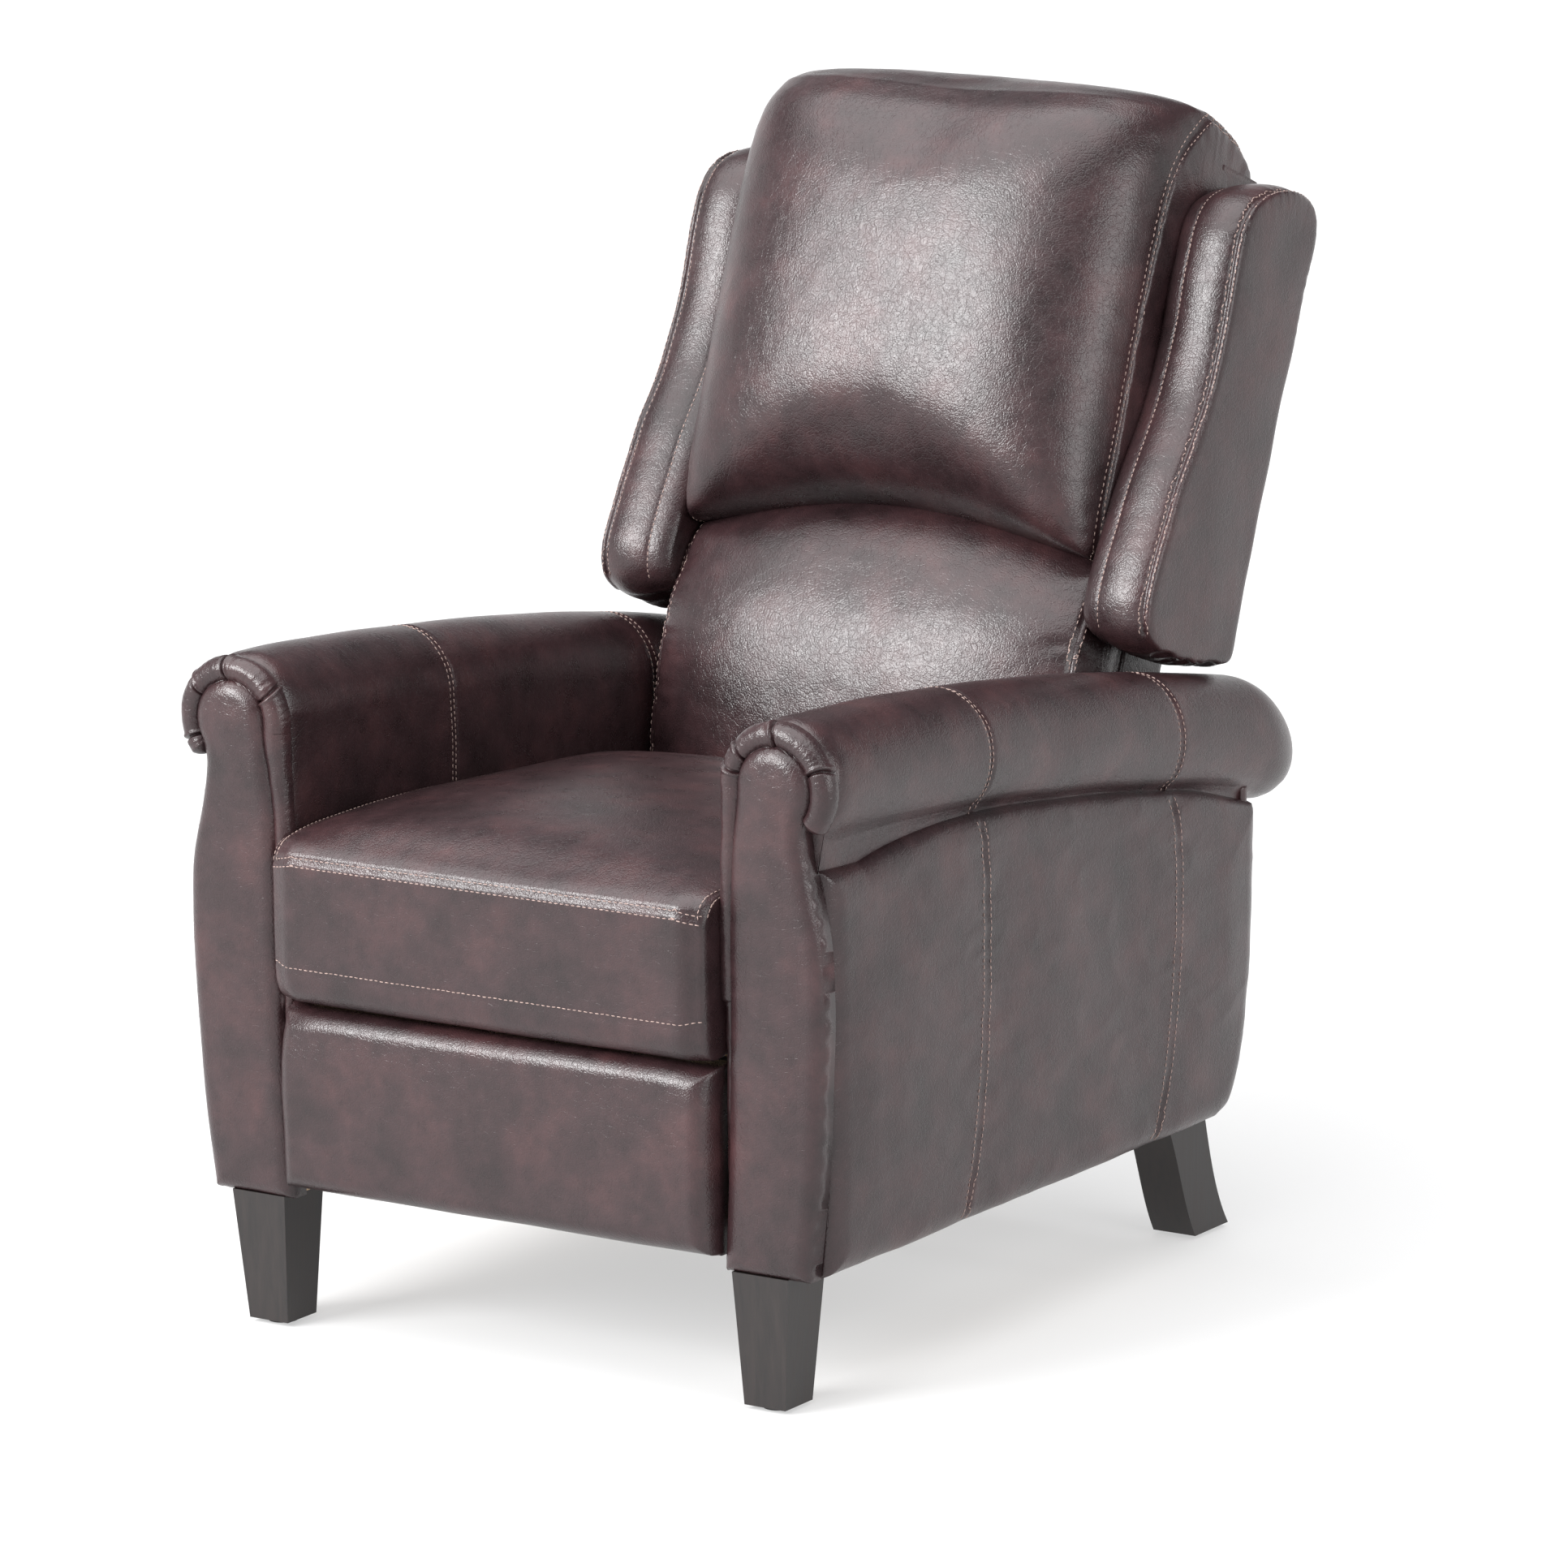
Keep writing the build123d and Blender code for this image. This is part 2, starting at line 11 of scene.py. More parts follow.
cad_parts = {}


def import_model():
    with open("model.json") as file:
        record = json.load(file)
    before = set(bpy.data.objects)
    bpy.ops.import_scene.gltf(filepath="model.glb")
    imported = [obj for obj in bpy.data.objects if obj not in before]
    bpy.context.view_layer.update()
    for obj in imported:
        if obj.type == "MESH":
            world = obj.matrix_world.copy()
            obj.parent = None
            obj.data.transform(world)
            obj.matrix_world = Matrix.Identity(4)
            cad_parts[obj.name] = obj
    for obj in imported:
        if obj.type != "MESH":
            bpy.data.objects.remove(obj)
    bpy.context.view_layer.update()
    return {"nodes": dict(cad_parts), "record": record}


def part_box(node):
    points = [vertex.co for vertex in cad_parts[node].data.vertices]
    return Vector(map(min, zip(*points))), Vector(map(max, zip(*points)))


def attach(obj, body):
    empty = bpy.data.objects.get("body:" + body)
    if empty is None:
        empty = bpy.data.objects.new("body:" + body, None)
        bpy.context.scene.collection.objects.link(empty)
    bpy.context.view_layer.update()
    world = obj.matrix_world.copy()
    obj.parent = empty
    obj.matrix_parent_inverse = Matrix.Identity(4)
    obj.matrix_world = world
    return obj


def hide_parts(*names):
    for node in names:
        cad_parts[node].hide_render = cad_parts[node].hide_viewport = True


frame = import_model()

# Shapes below are in millimetres, with y = 0 at the front faces of the front feet.
MM = 0.001
FEET_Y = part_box("arm_posts")[0].y - 16 * MM
SIDES = (("left", 1), ("right", -1))

# Arm roll, as in the CAD
ROLL_X = 300.0
ROLL_FRONT_Z = 573.0
ROLL_SLOPE = 0.03
ROLL_CURVE = 1.1875e-4
ROLL_HALF_WIDTH = 55.0
ROLL_HALF_HEIGHT = 60.0
ROLL_FRONT_Y = 13.0
ROLL_REAR_Y = 853.0
PANEL_HEAD = (300.0, 572.0)
PANEL_HEAD_RADIUS = 38.0
ARM_SEAMS_Y = (268.0, 600.0)
ARM_FOOT_Z = 127.5

# Half widths of the cushions at their side seams
SEAT_HALF = 238.0
LUMBAR_HALF = 232.0
HEAD_HALF = 233.0

# Back frame: s up the lean, t forward of it
BACK_LEAN = math.radians(22)
BACK_ORIGIN = (662.0, 340.0)


# ------------------------------------------------------------ numbers
def place(points):
    """Millimetre points of the chair as metres in the frame."""
    return np.asarray(points, float) * MM + np.array([0, FEET_Y, 0])


def lean(s, t):
    """The (y, z) of a place on the back."""
    s, t = np.asarray(s, float), np.asarray(t, float)
    y = BACK_ORIGIN[0] + s * math.sin(BACK_LEAN) - t * math.cos(BACK_LEAN)
    return y, BACK_ORIGIN[1] + s * math.cos(BACK_LEAN) + t * math.sin(BACK_LEAN)


def roll_z(y):
    return ROLL_FRONT_Z - ROLL_SLOPE * y - ROLL_CURVE * np.asarray(y) ** 2


def curve(points, count, closed=False):
    """Even points along a smooth curve through the given ones."""
    p = np.asarray(points, float)
    n = len(p)
    spans = n if closed else n - 1
    ends = (p[-1:], p[:2]) if closed else (2 * p[:1] - p[1:2], 2 * p[-1:] - p[-2:-1])
    q = np.concatenate([ends[0], p, ends[1]])
    fine = []
    for i in range(spans):
        a, b, c, d = q[i], q[i + 1], q[i + 2], q[i + 3]
        t = np.linspace(0, 1, 24, endpoint=False)[:, None]
        square, cube = 2 * a - 5 * b + 4 * c - d, 3 * b - a - 3 * c + d
        fine.append(0.5 * (2 * b + (c - a) * t + square * t**2 + cube * t**3))
    fine = np.concatenate(fine + [p[:1] if closed else p[-1:]])
    return even(fine, count, closed)


def even(line, count, closed=False):
    """The same line with evenly spaced points."""
    line = np.asarray(line, float)
    length = np.concatenate([[0], np.cumsum(np.linalg.norm(np.diff(line, axis=0), axis=1))])
    at = np.linspace(0, length[-1], count, endpoint=not closed)
    return np.stack([np.interp(at, length, line[:, k]) for k in range(line.shape[1])], 1)


def bump(x):
    """1 at 0, falling smoothly to almost nothing at 2."""
    return np.exp(-np.asarray(x) ** 2)


def rise(x):
    """Smooth step from 0 to 1."""
    x = np.clip(x, 0, 1)
    return x * x * (3 - 2 * x)


class Noise:
    """Seeded gradient noise in three dimensions, about -1 to 1."""

    def __init__(self, seed):
        random = np.random.RandomState(seed)
        self.order = np.tile(random.permutation(256), 3)
        self.slopes = random.normal(size=(256, 3))
        self.slopes /= np.linalg.norm(self.slopes, axis=1)[:, None]

    def __call__(self, points, size=1.0):
        p = np.asarray(points, float) / size
        cell = np.floor(p).astype(int)
        part = p - cell
        ease = part * part * part * (part * (part * 6 - 15) + 10)
        total = np.zeros(p.shape[:-1])
        for corner in np.ndindex(2, 2, 2):
            at = (cell + corner) & 255
            slope = self.slopes[self.order[self.order[self.order[at[..., 0]] + at[..., 1]] + at[..., 2]]]
            share = np.prod(np.where(np.array(corner) == 1, ease, 1 - ease), axis=-1)
            total += share * np.sum(slope * (part - corner), axis=-1)
        return total * 1.6


# ------------------------------------------------------------ meshes
def make(name, vertices, faces, parent_body, material):
    mesh = bpy.data.meshes.new(name)
    mesh.from_pydata([tuple(v) for v in vertices], [], [tuple(f) for f in faces])
    mesh.validate()
    mesh.polygons.foreach_set("use_smooth", [True] * len(mesh.polygons))
    piece = bpy.data.objects.new(name, mesh)
    bpy.context.scene.collection.objects.link(piece)
    piece.data.materials.append(material)
    outward(piece)
    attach(piece, parent_body)
    return piece


def make_leather(name, form, parent_body, sign=1):
    """A leather piece from (vertices, faces); a sign below 0 mirrors it to the chair's right."""
    vertices, faces = form
    if sign < 0:
        vertices = mirrored(vertices)
    return make(name, vertices, faces, parent_body, LEATHER)


def outward(piece):
    bm = bmesh.new()
    bm.from_mesh(piece.data)
    bmesh.ops.recalc_face_normals(bm, faces=bm.faces)
    bm.to_mesh(piece.data)
    bm.free()


def tube_faces(rings, around):
    faces = []
    for i in range(rings - 1):
        for j in range(around):
            k = (j + 1) % around
            faces.append((i * around + j, i * around + k, (i + 1) * around + k, (i + 1) * around + j))
    return faces


def wrapped(rings):
    """Vertices and faces of a closed form through rings, with each end closed by a strip of quads."""
    rings = np.asarray(rings, float)
    count, around = rings.shape[:2]
    faces = tube_faces(count, around)
    last = (count - 1) * around
    for j in range((around - 1) // 2):
        a, b, c, d = j, j + 1, around - 2 - j, around - 1 - j
        near = (a, b, d) if b == c else (a, b, c, d)
        faces.append(near)
        faces.append(tuple(last + k for k in reversed(near)))
    return rings.reshape(-1, 3), faces


def slab(front, back):
    """Vertices and faces of a closed pad between two grids of the same size."""
    rows, columns = front.shape[:2]
    vertices = list(front.reshape(-1, 3)) + list(back.reshape(-1, 3))
    faces, shift = [], rows * columns
    for i in range(rows - 1):
        for j in range(columns - 1):
            a, d = i * columns + j, (i + 1) * columns + j
            b, c = a + 1, d + 1
            faces.append((a, b, c, d))
            faces.append((d + shift, c + shift, b + shift, a + shift))
    rim = list(range(columns)) + [i * columns + columns - 1 for i in range(1, rows)]
    rim += [(rows - 1) * columns + j for j in range(columns - 2, -1, -1)]
    rim += [i * columns for i in range(rows - 2, 0, -1)]
    for a, b in zip(rim, rim[1:] + rim[:1]):
        faces.append((b, a, a + shift, b + shift))
    return vertices, faces


def patch(bottom, top, left, right):
    """A grid between four edge lines that share their corners: rows go from bottom to top."""
    columns, rows = len(bottom), len(left)
    u = np.linspace(0, 1, columns)[None, :, None]
    v = np.linspace(0, 1, rows)[:, None, None]
    across = left[:, None] * (1 - u) + right[:, None] * u
    up = bottom[None] * (1 - v) + top[None] * v
    corners = (bottom[0] * (1 - v) + top[0] * v) * (1 - u) + (bottom[-1] * (1 - v) + top[-1] * v) * u
    return across + up - corners


def quarter_round(distance, radius):
    """0 at an edge, rising as a quarter circle to 1 at the radius."""
    return np.sqrt(np.clip(1 - (1 - np.clip(distance / radius, 0, 1)) ** 2, 0, 1))


def edge_distance(grid, line):
    """How far each point of a flat grid is from an outline."""
    tree = KDTree(len(line))
    for i, p in enumerate(line):
        tree.insert((p[0], p[1], 0), i)
    tree.balance()
    flat = grid.reshape(-1, 2)
    return np.array([tree.find((p[0], p[1], 0))[2] for p in flat]).reshape(grid.shape[:2])


def coordinates(mesh):
    values = np.zeros(len(mesh.vertices) * 3)
    mesh.vertices.foreach_get("co", values)
    return values.reshape(-1, 3)


def normals(mesh):
    values = np.zeros(len(mesh.vertices) * 3)
    mesh.vertices.foreach_get("normal", values)
    return values.reshape(-1, 3)


def reshape(piece, points):
    piece.data.vertices.foreach_set("co", np.asarray(points, float).ravel())
    piece.data.update()


def subdivide(piece, levels=1):
    modifier = piece.modifiers.new("Subdivide", "SUBSURF")
    modifier.levels = modifier.render_levels = levels
    apply_modifiers(piece)


def apply_modifiers(piece):
    bpy.context.view_layer.update()
    evaluated = piece.evaluated_get(bpy.context.evaluated_depsgraph_get())
    mesh = bpy.data.meshes.new_from_object(evaluated)
    old = piece.data
    piece.modifiers.clear()
    piece.data = mesh
    bpy.data.meshes.remove(old)
    mesh.polygons.foreach_set("use_smooth", [True] * len(mesh.polygons))


def puff(piece, grid, held, pressure=4.0, cap=12.0, frames=20):
    """Blows a padded piece up by cloth simulation; held is how firmly each vertex keeps its place."""
    start = coordinates(piece.data)
    group = piece.vertex_groups.new(name="held")
    for i, weight in enumerate(held):
        if weight > 0:
            group.add([i], float(weight), "REPLACE")
    cloth = piece.modifiers.new("Cloth", "CLOTH")
    cloth.settings.quality = 5
    cloth.settings.mass = 0.35
    cloth.settings.tension_stiffness = 10
    cloth.settings.compression_stiffness = 10
    cloth.settings.shear_stiffness = 4
    cloth.settings.bending_stiffness = 2.0
    cloth.settings.use_pressure = True
    cloth.settings.uniform_pressure_force = pressure
    cloth.settings.vertex_group_mass = "held"
    cloth.settings.effector_weights.gravity = 0
    cloth.collision_settings.use_collision = False
    for step in range(1, frames + 1):
        bpy.context.scene.frame_set(step)
    apply_modifiers(piece)
    bpy.context.scene.frame_set(1)
    moved = coordinates(piece.data) - start
    length = np.linalg.norm(moved, axis=1)[:, None]
    limit = cap * MM
    moved *= np.where(length > 0, limit * np.tanh(length / limit) / np.maximum(length, 1e-9), 1)
    reshape(piece, start + evened(moved, grid, held))
    piece.vertex_groups.clear()


def evened(moved, grid, held, times=14):
    """Smooths the movement of a wrapped cushion over its grid, so that the leather lies taut."""
    field = moved.reshape(*grid, 3)
    free = 1 - held.reshape(*grid, 1)
    for _ in range(times):
        ends = np.concatenate([field[:1], field, field[-1:]])
        sides = np.roll(field, 1, 1) + np.roll(field, -1, 1)
        field = (ends[:-2] + ends[2:] + sides + 2 * field) / 6 * free
    return field.reshape(-1, 3)


def sew(piece, lines, depth=2.6, width=3.0, pucker=1.1, reach=26.0, gap=15.0, seed=1):
    """Presses seam lines into a padded piece and gathers the leather beside them. Lines are in metres."""
    points = coordinates(piece.data)
    up = normals(piece.data)
    joined, along = [], []
    for line in lines:
        steps = np.linalg.norm(np.diff(line, axis=0), axis=1)
        joined.append(line)
        along.append(np.concatenate([[0], np.cumsum(steps)]) + 10.0 * len(along))
    joined, along = np.concatenate(joined), np.concatenate(along)
    tree = KDTree(len(joined))
    for i, p in enumerate(joined):
        tree.insert(p, i)
    tree.balance()
    found = [tree.find(p) for p in points]
    distance = np.array([f[2] for f in found]) / MM
    place_along = along[[f[1] for f in found]] / MM
    noise = Noise(seed)
    gather = noise(np.stack([place_along / gap, distance / 60, 0 * distance], 1))
    gather = -np.abs(gather) * 1.6 + 0.35
    fade = np.exp(-distance / reach) * rise(distance / 5)
    shift = -depth * bump(distance / width) + pucker * gather * fade
    reshape(piece, points + up * (shift * MM)[:, None])


def wrinkle(piece, amount, size, stretch=(1, 1, 1), seed=5, ridges=False, where=None):
    """Raises or sinks a surface by seeded noise; stretch lengthens the folds along an axis."""
    points = coordinates(piece.data)
    field = Noise(seed)(points / MM / np.array(stretch), size)
    if ridges:
        field = 0.45 - np.abs(field) * 2
    if where is not None:
        field = field * where(points)
    reshape(piece, points + normals(piece.data) * (field * amount * MM)[:, None])


def surface_tree(piece):
    points = coordinates(piece.data)
    return BVHTree.FromPolygons([tuple(p) for p in points], [tuple(f.vertices) for f in piece.data.polygons])


def laid_on(tree, line):
    """The line moved onto a surface, with the surface's normals there."""
    spots, ups = [], []
    for p in line:
        spot, up, _, _ = tree.find_nearest(Vector(p))
        spots.append(spot)
        ups.append(up)
    return np.array(spots), np.array(ups)


STITCH_LENGTH = 4.2
STITCH_GAP = 1.6
STITCH_RADIUS = 0.58
STITCH_SIDES = 5


def stitches(name, piece, lines, offsets, body):
    """Raised stitches beside seam lines, at the given sideways offsets in mm."""
    tree = surface_tree(piece)
    vertices, faces = [], []
    profile = [(-0.5, 0.15), (-0.36, 0.8), (0, 1.0), (0.36, 0.8), (0.5, 0.15)]
    for line in lines:
        for offset in offsets:
            base, up = laid_on(tree, line)
            ahead = np.gradient(base, axis=0)
            side = np.cross(up, ahead)
            side /= np.maximum(np.linalg.norm(side, axis=1), 1e-9)[:, None]
            length = np.sum(np.linalg.norm(np.diff(base, axis=0), axis=1)) / MM
            count = max(2, int(length / (STITCH_LENGTH + STITCH_GAP)))
            row = even(base + side * offset * MM, count + 1)
            row, up = laid_on(tree, row)
            for i in range(count):
                a, b = row[i], row[i + 1]
                forward = (b - a) / max(np.linalg.norm(b - a), 1e-9)
                lift = (up[i] + up[i + 1]) / 2
                lift /= np.linalg.norm(lift)
                across = np.cross(forward, lift)
                start = len(vertices)
                for share, thick in profile:
                    centre = (a + b) / 2 + forward * share * STITCH_LENGTH * MM
                    centre = centre + lift * STITCH_RADIUS * MM * (0.75 * thick - 0.35)
                    for k in range(STITCH_SIDES):
                        angle = 2 * math.pi * k / STITCH_SIDES
                        ring = math.cos(angle) * across + math.sin(angle) * lift * 0.8
                        vertices.append(centre + ring * STITCH_RADIUS * thick * MM)
                around = tube_faces(len(profile), STITCH_SIDES)
                faces += [tuple(start + corner for corner in face) for face in around]
                last = start + (len(profile) - 1) * STITCH_SIDES
                faces.append(tuple(start + k for k in reversed(range(STITCH_SIDES))))
                faces.append(tuple(last + k for k in range(STITCH_SIDES)))
    return make(name, vertices, faces, body, THREAD)


def mirrored(points):
    return np.asarray(points) * np.array([-1, 1, 1])


# ------------------------------------------------------------ materials
def node_tree(name):
    material = bpy.data.materials.new(name)
    material.use_nodes = True
    tree = material.node_tree
    shader = tree.nodes["Principled BSDF"]
    place_in = tree.nodes.new("ShaderNodeTexCoord").outputs["Object"]
    return material, tree, shader, place_in


def node(tree, kind, inputs=(), **settings):
    made = tree.nodes.new(kind)
    for key, value in settings.items():
        setattr(made, key, value)
    for key, value in dict(inputs).items():
        if isinstance(value, bpy.types.NodeSocket):
            tree.links.new(value, made.inputs[key])
        else:
            made.inputs[key].default_value = value
    return made


def noise_texture(tree, at, scale, detail, roughness=0.5):
    inputs = {"Vector": at, "Scale": scale, "Detail": detail, "Roughness": roughness}
    return node(tree, "ShaderNodeTexNoise", inputs).outputs["Fac"]


def cell_edges(tree, at, scale):
    inputs = {"Vector": at, "Scale": scale}
    return node(tree, "ShaderNodeTexVoronoi", inputs, feature="DISTANCE_TO_EDGE").outputs["Distance"]


def emboss(tree, shader, height, strength, distance):
    relief = node(tree, "ShaderNodeBump", {"Height": height, "Strength": strength, "Distance": distance})
    tree.links.new(relief.outputs["Normal"], shader.inputs["Normal"])


def ramp(tree, value, stops):
    made = tree.nodes.new("ShaderNodeValToRGB")
    tree.links.new(value, made.inputs["Fac"])
    elements = made.color_ramp.elements
    while len(elements) < len(stops):
        elements.new(0.5)
    for element, (position, colour) in zip(elements, stops):
        element.position = position
        element.color = (*colour, 1)
    return made.outputs["Color"]


def mapped(tree, value, low, high, to_low, to_high):
    inputs = {"Value": value, "From Min": low, "From Max": high, "To Min": to_low, "To Max": to_high}
    return node(tree, "ShaderNodeMapRange", inputs).outputs["Result"]


def maths(tree, operation, a, b):
    return node(tree, "ShaderNodeMath", {0: a, 1: b}, operation=operation).outputs["Value"]


def leather():
    """Dark espresso faux leather: mottled colour, pebble grain and a net of fine creases."""
    material, tree, shader, at = node_tree("Leather")
    clouds = noise_texture(tree, at, 14.0, 5.0, 0.62)
    patches = noise_texture(tree, at, 42.0, 4.0, 0.65)
    deep, mid, red = (0.015, 0.0078, 0.0086), (0.026, 0.0126, 0.0140), (0.042, 0.0185, 0.0195)
    broad = ramp(tree, clouds, [(0.32, deep), (0.52, mid), (0.70, red)])
    small = ramp(tree, patches, [(0.30, (0.75, 0.74, 0.75)), (0.72, (1.22, 1.18, 1.18))])
    mix = node(tree, "ShaderNodeMix", data_type="RGBA", blend_type="MULTIPLY")
    tree.links.new(mixed_colour(tree, mix, broad, small), shader.inputs["Base Color"])
    warp = node(tree, "ShaderNodeTexNoise", {"Vector": at, "Scale": 60.0, "Detail": 2.0})
    reach = {0: warp.outputs["Color"], 1: (0.006, 0.006, 0.006)}
    bent = node(tree, "ShaderNodeVectorMath", reach, operation="MULTIPLY").outputs["Vector"]
    where = node(tree, "ShaderNodeVectorMath", {0: at, 1: bent}, operation="ADD").outputs["Vector"]
    grain = mapped(tree, cell_edges(tree, where, 400.0), 0.0, 0.28, 0.0, 1.0)
    crease = mapped(tree, cell_edges(tree, where, 130.0), 0.0, 0.10, 0.0, 1.0)
    soft = noise_texture(tree, at, 75.0, 3.0)
    height = maths(tree, "ADD", maths(tree, "MULTIPLY", grain, 0.30), maths(tree, "MULTIPLY", crease, 0.30))
    height = maths(tree, "ADD", height, maths(tree, "MULTIPLY", soft, 0.6))
    emboss(tree, shader, height, 0.5, 0.0007)
    tree.links.new(mapped(tree, patches, 0.3, 0.7, 0.26, 0.32), shader.inputs["Roughness"])
    shader.inputs["Specular IOR Level"].default_value = 0.42
    shader.inputs["Coat Weight"].default_value = 0.12
    shader.inputs["Coat Roughness"].default_value = 0.35
    return material


def mixed_colour(tree, mix, a, b):
    """Fully mixes two colours in a Mix node and gives its result."""
    mix.inputs[0].default_value = 1.0
    colours = [s for s in mix.inputs if s.type == "RGBA"]
    tree.links.new(a, colours[0])
    tree.links.new(b, colours[1])
    return [s for s in mix.outputs if s.type == "RGBA"][0]


def thread():
    material, tree, shader, at = node_tree("Thread")
    twist = noise_texture(tree, at, 300.0, 2.0)
    colour = ramp(tree, twist, [(0.3, (0.20, 0.135, 0.12)), (0.7, (0.36, 0.26, 0.23))])
    tree.links.new(colour, shader.inputs["Base Color"])
    shader.inputs["Roughness"].default_value = 0.6
    return material


def dark_wood():
    material, tree, shader, at = node_tree("Dark_wood")
    stretched = node(tree, "ShaderNodeMapping", {"Vector": at, "Scale": (55.0, 55.0, 5.0)}).outputs["Vector"]
    fibres = noise_texture(tree, stretched, 3.0, 6.0, 0.65)
    colour = ramp(tree, fibres, [(0.3, (0.006, 0.0045, 0.0045)), (0.7, (0.016, 0.011, 0.010))])
    tree.links.new(colour, shader.inputs["Base Color"])
    tree.links.new(mapped(tree, fibres, 0.3, 0.7, 0.34, 0.46), shader.inputs["Roughness"])
    emboss(tree, shader, fibres, 0.25, 0.0004)
    return material


def frame_wood():
    material, tree, shader, at = node_tree("Frame_wood")
    stretched = node(tree, "ShaderNodeMapping", {"Vector": at, "Scale": (60.0, 6.0, 60.0)}).outputs["Vector"]
    fibres = noise_texture(tree, stretched, 2.5, 6.0, 0.6)
    colour = ramp(tree, fibres, [(0.3, (0.42, 0.28, 0.16)), (0.7, (0.62, 0.46, 0.29))])
    tree.links.new(colour, shader.inputs["Base Color"])
    emboss(tree, shader, fibres, 0.3, 0.0005)
    shader.inputs["Roughness"].default_value = 0.65
    return material


def metal(name, low, high, metallic, rough_low, rough_high):
    material, tree, shader, at = node_tree(name)
    spots = noise_texture(tree, at, 220.0, 3.0)
    tree.links.new(ramp(tree, spots, [(0.3, low), (0.7, high)]), shader.inputs["Base Color"])
    tree.links.new(mapped(tree, spots, 0.3, 0.7, rough_low, rough_high), shader.inputs["Roughness"])
    emboss(tree, shader, spots, 0.15, 0.0002)
    shader.inputs["Metallic"].default_value = metallic
    return material


LEATHER = leather()
THREAD = thread()
CAD_MATERIALS = {
    "leather": LEATHER,
    "dark_wood": dark_wood(),
    "frame_wood": frame_wood(),
    "black_steel": metal("Black_steel", (0.012, 0.012, 0.013), (0.028, 0.028, 0.030), 0.3, 0.38, 0.55),
    "zinc_steel": metal("Zinc_steel", (0.45, 0.45, 0.44), (0.62, 0.62, 0.60), 1.0, 0.28, 0.42),
    "spring_steel": metal("Spring_steel", (0.16, 0.16, 0.17), (0.28, 0.28, 0.30), 1.0, 0.32, 0.5),
    "glide_plastic": metal("Glide_plastic", (0.012, 0.012, 0.012), (0.02, 0.02, 0.02), 0.0, 0.45, 0.6),
}
for row in frame["record"]["subparts"]:
    cad = frame["nodes"][row["node"]]
    cad.data.materials.clear()
    cad.data.materials.append(CAD_MATERIALS[row["material_slot"]])


def cushion(piece, nodes):
    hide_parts(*nodes)
    return piece


# ------------------------------------------------------------ arms
def crease_drop(y):
    """How far below the roll's centre its outer side meets the side panel."""
    y = np.asarray(y, float)
    return 53 + np.minimum(26, 22 * np.exp(-(y - 96) / 100)) + 12 * rise((y - 620) / 180)


def arm_section(y):
    """The arm's section: outer skirt, the roll, the straight inner face and the hidden return."""
    zc = float(roll_z(y))
    tail = float(rise((y - 700) / 45))
    closing = float(rise((y - 742) / 28))
    drop = float(crease_drop(y))
    skirt = np.array([(331, -drop), (331.5, -0.5 * drop - 22), (336, -43)])
    round_end = np.array([(316, -58), (327, -52.5), (336, -45)])
    skirt = skirt * (1 - closing) + round_end * closing + np.array([0, zc])
    arc = np.radians(np.linspace(-40, 180, 62))
    top = np.stack([ROLL_X + ROLL_HALF_WIDTH * np.cos(arc), zc + ROLL_HALF_HEIGHT * np.sin(arc)], 1)
    foot = (1 - tail) * ARM_FOOT_Z + tail * (zc - 50)
    inner = even([(245, zc), (245 + 10 * tail, foot)], 34)[1:]
    back = even([(257 + 8 * tail, foot - 2), (266 + 12 * tail, zc - 64 + 5 * tail), skirt[0] - (12, 2)], 17)
    return np.concatenate([curve(skirt, 9)[:-1], top, inner, back])


def arm_roll(side, sign):
    """The sloping top roll with the arm's inner face, drawn in under the border and rounded off behind."""
    stations = np.concatenate([[ROLL_FRONT_Y, 15, 18, 22], np.arange(27, 770, 3.4)])
    tail = ROLL_REAR_Y - 770
    stations = np.concatenate([stations, 770 + tail * np.sin(np.linspace(0.03, 0.995, 22) * math.pi / 2)])
    rings = []
    for y in stations:
        share = 1 - 0.14 * math.exp(-(y - ROLL_FRONT_Y) / 6)
        centre = np.array([ROLL_X, float(roll_z(y))])
        section = arm_section(y) - centre
        section[:, 0] *= share
        section[:, 1] = np.where(section[:, 1] > 0, section[:, 1] * share, section[:, 1])
        if y > 770:
            section *= math.sqrt(max(1 - ((y - 770) / (tail + 1)) ** 2, 0.002))
        section += centre
        droop = -8 * rise((y - 760) / 90)
        rings.append(np.stack([section[:, 0], np.full(len(section), y), section[:, 1] + droop], 1))
    form = wrapped(place(rings))
    piece = make_leather(f"Arm_roll_{side}", form, "base", sign)
    wrinkle(piece, 1.5, 70, (1, 1.6, 1), seed=11 + sign)
    wrinkle(piece, 0.9, 16, (1, 2.6, 1), seed=21 + sign, ridges=True, where=near_front)
    lines = [arm_seam_on_roll(y, sign) for y in ARM_SEAMS_Y]
    sew(piece, lines, depth=2.6, width=2.4, pucker=0.9, reach=14, gap=17, seed=31 + sign)
    stitches(f"Arm_roll_stitches_{side}", piece, lines, (-5, 5), "base")
    return cushion(piece, [f"arm_roll_{side}", f"arm_inner_panel_{side}"])


def near_front(points):
    return np.exp(-(points[:, 1] / MM - FEET_Y / MM - ROLL_FRONT_Y) / 26)


def arm_seam_on_roll(y, sign):
    zc = float(roll_z(y))
    angles = np.radians(np.linspace(-38, 180, 150))
    over = np.stack([ROLL_X + ROLL_HALF_WIDTH * np.cos(angles), zc + ROLL_HALF_HEIGHT * np.sin(angles)], 1)
    start = [(331.5, zc - float(crease_drop(y)) + 2)]
    down = even([(245, zc - 3), (245, 440)], 60)
    line = even(np.concatenate([start, over, down]), 300)
    line = place(np.stack([line[:, 0], np.full(len(line), y), line[:, 1]], 1))
    return line if sign > 0 else mirrored(line)


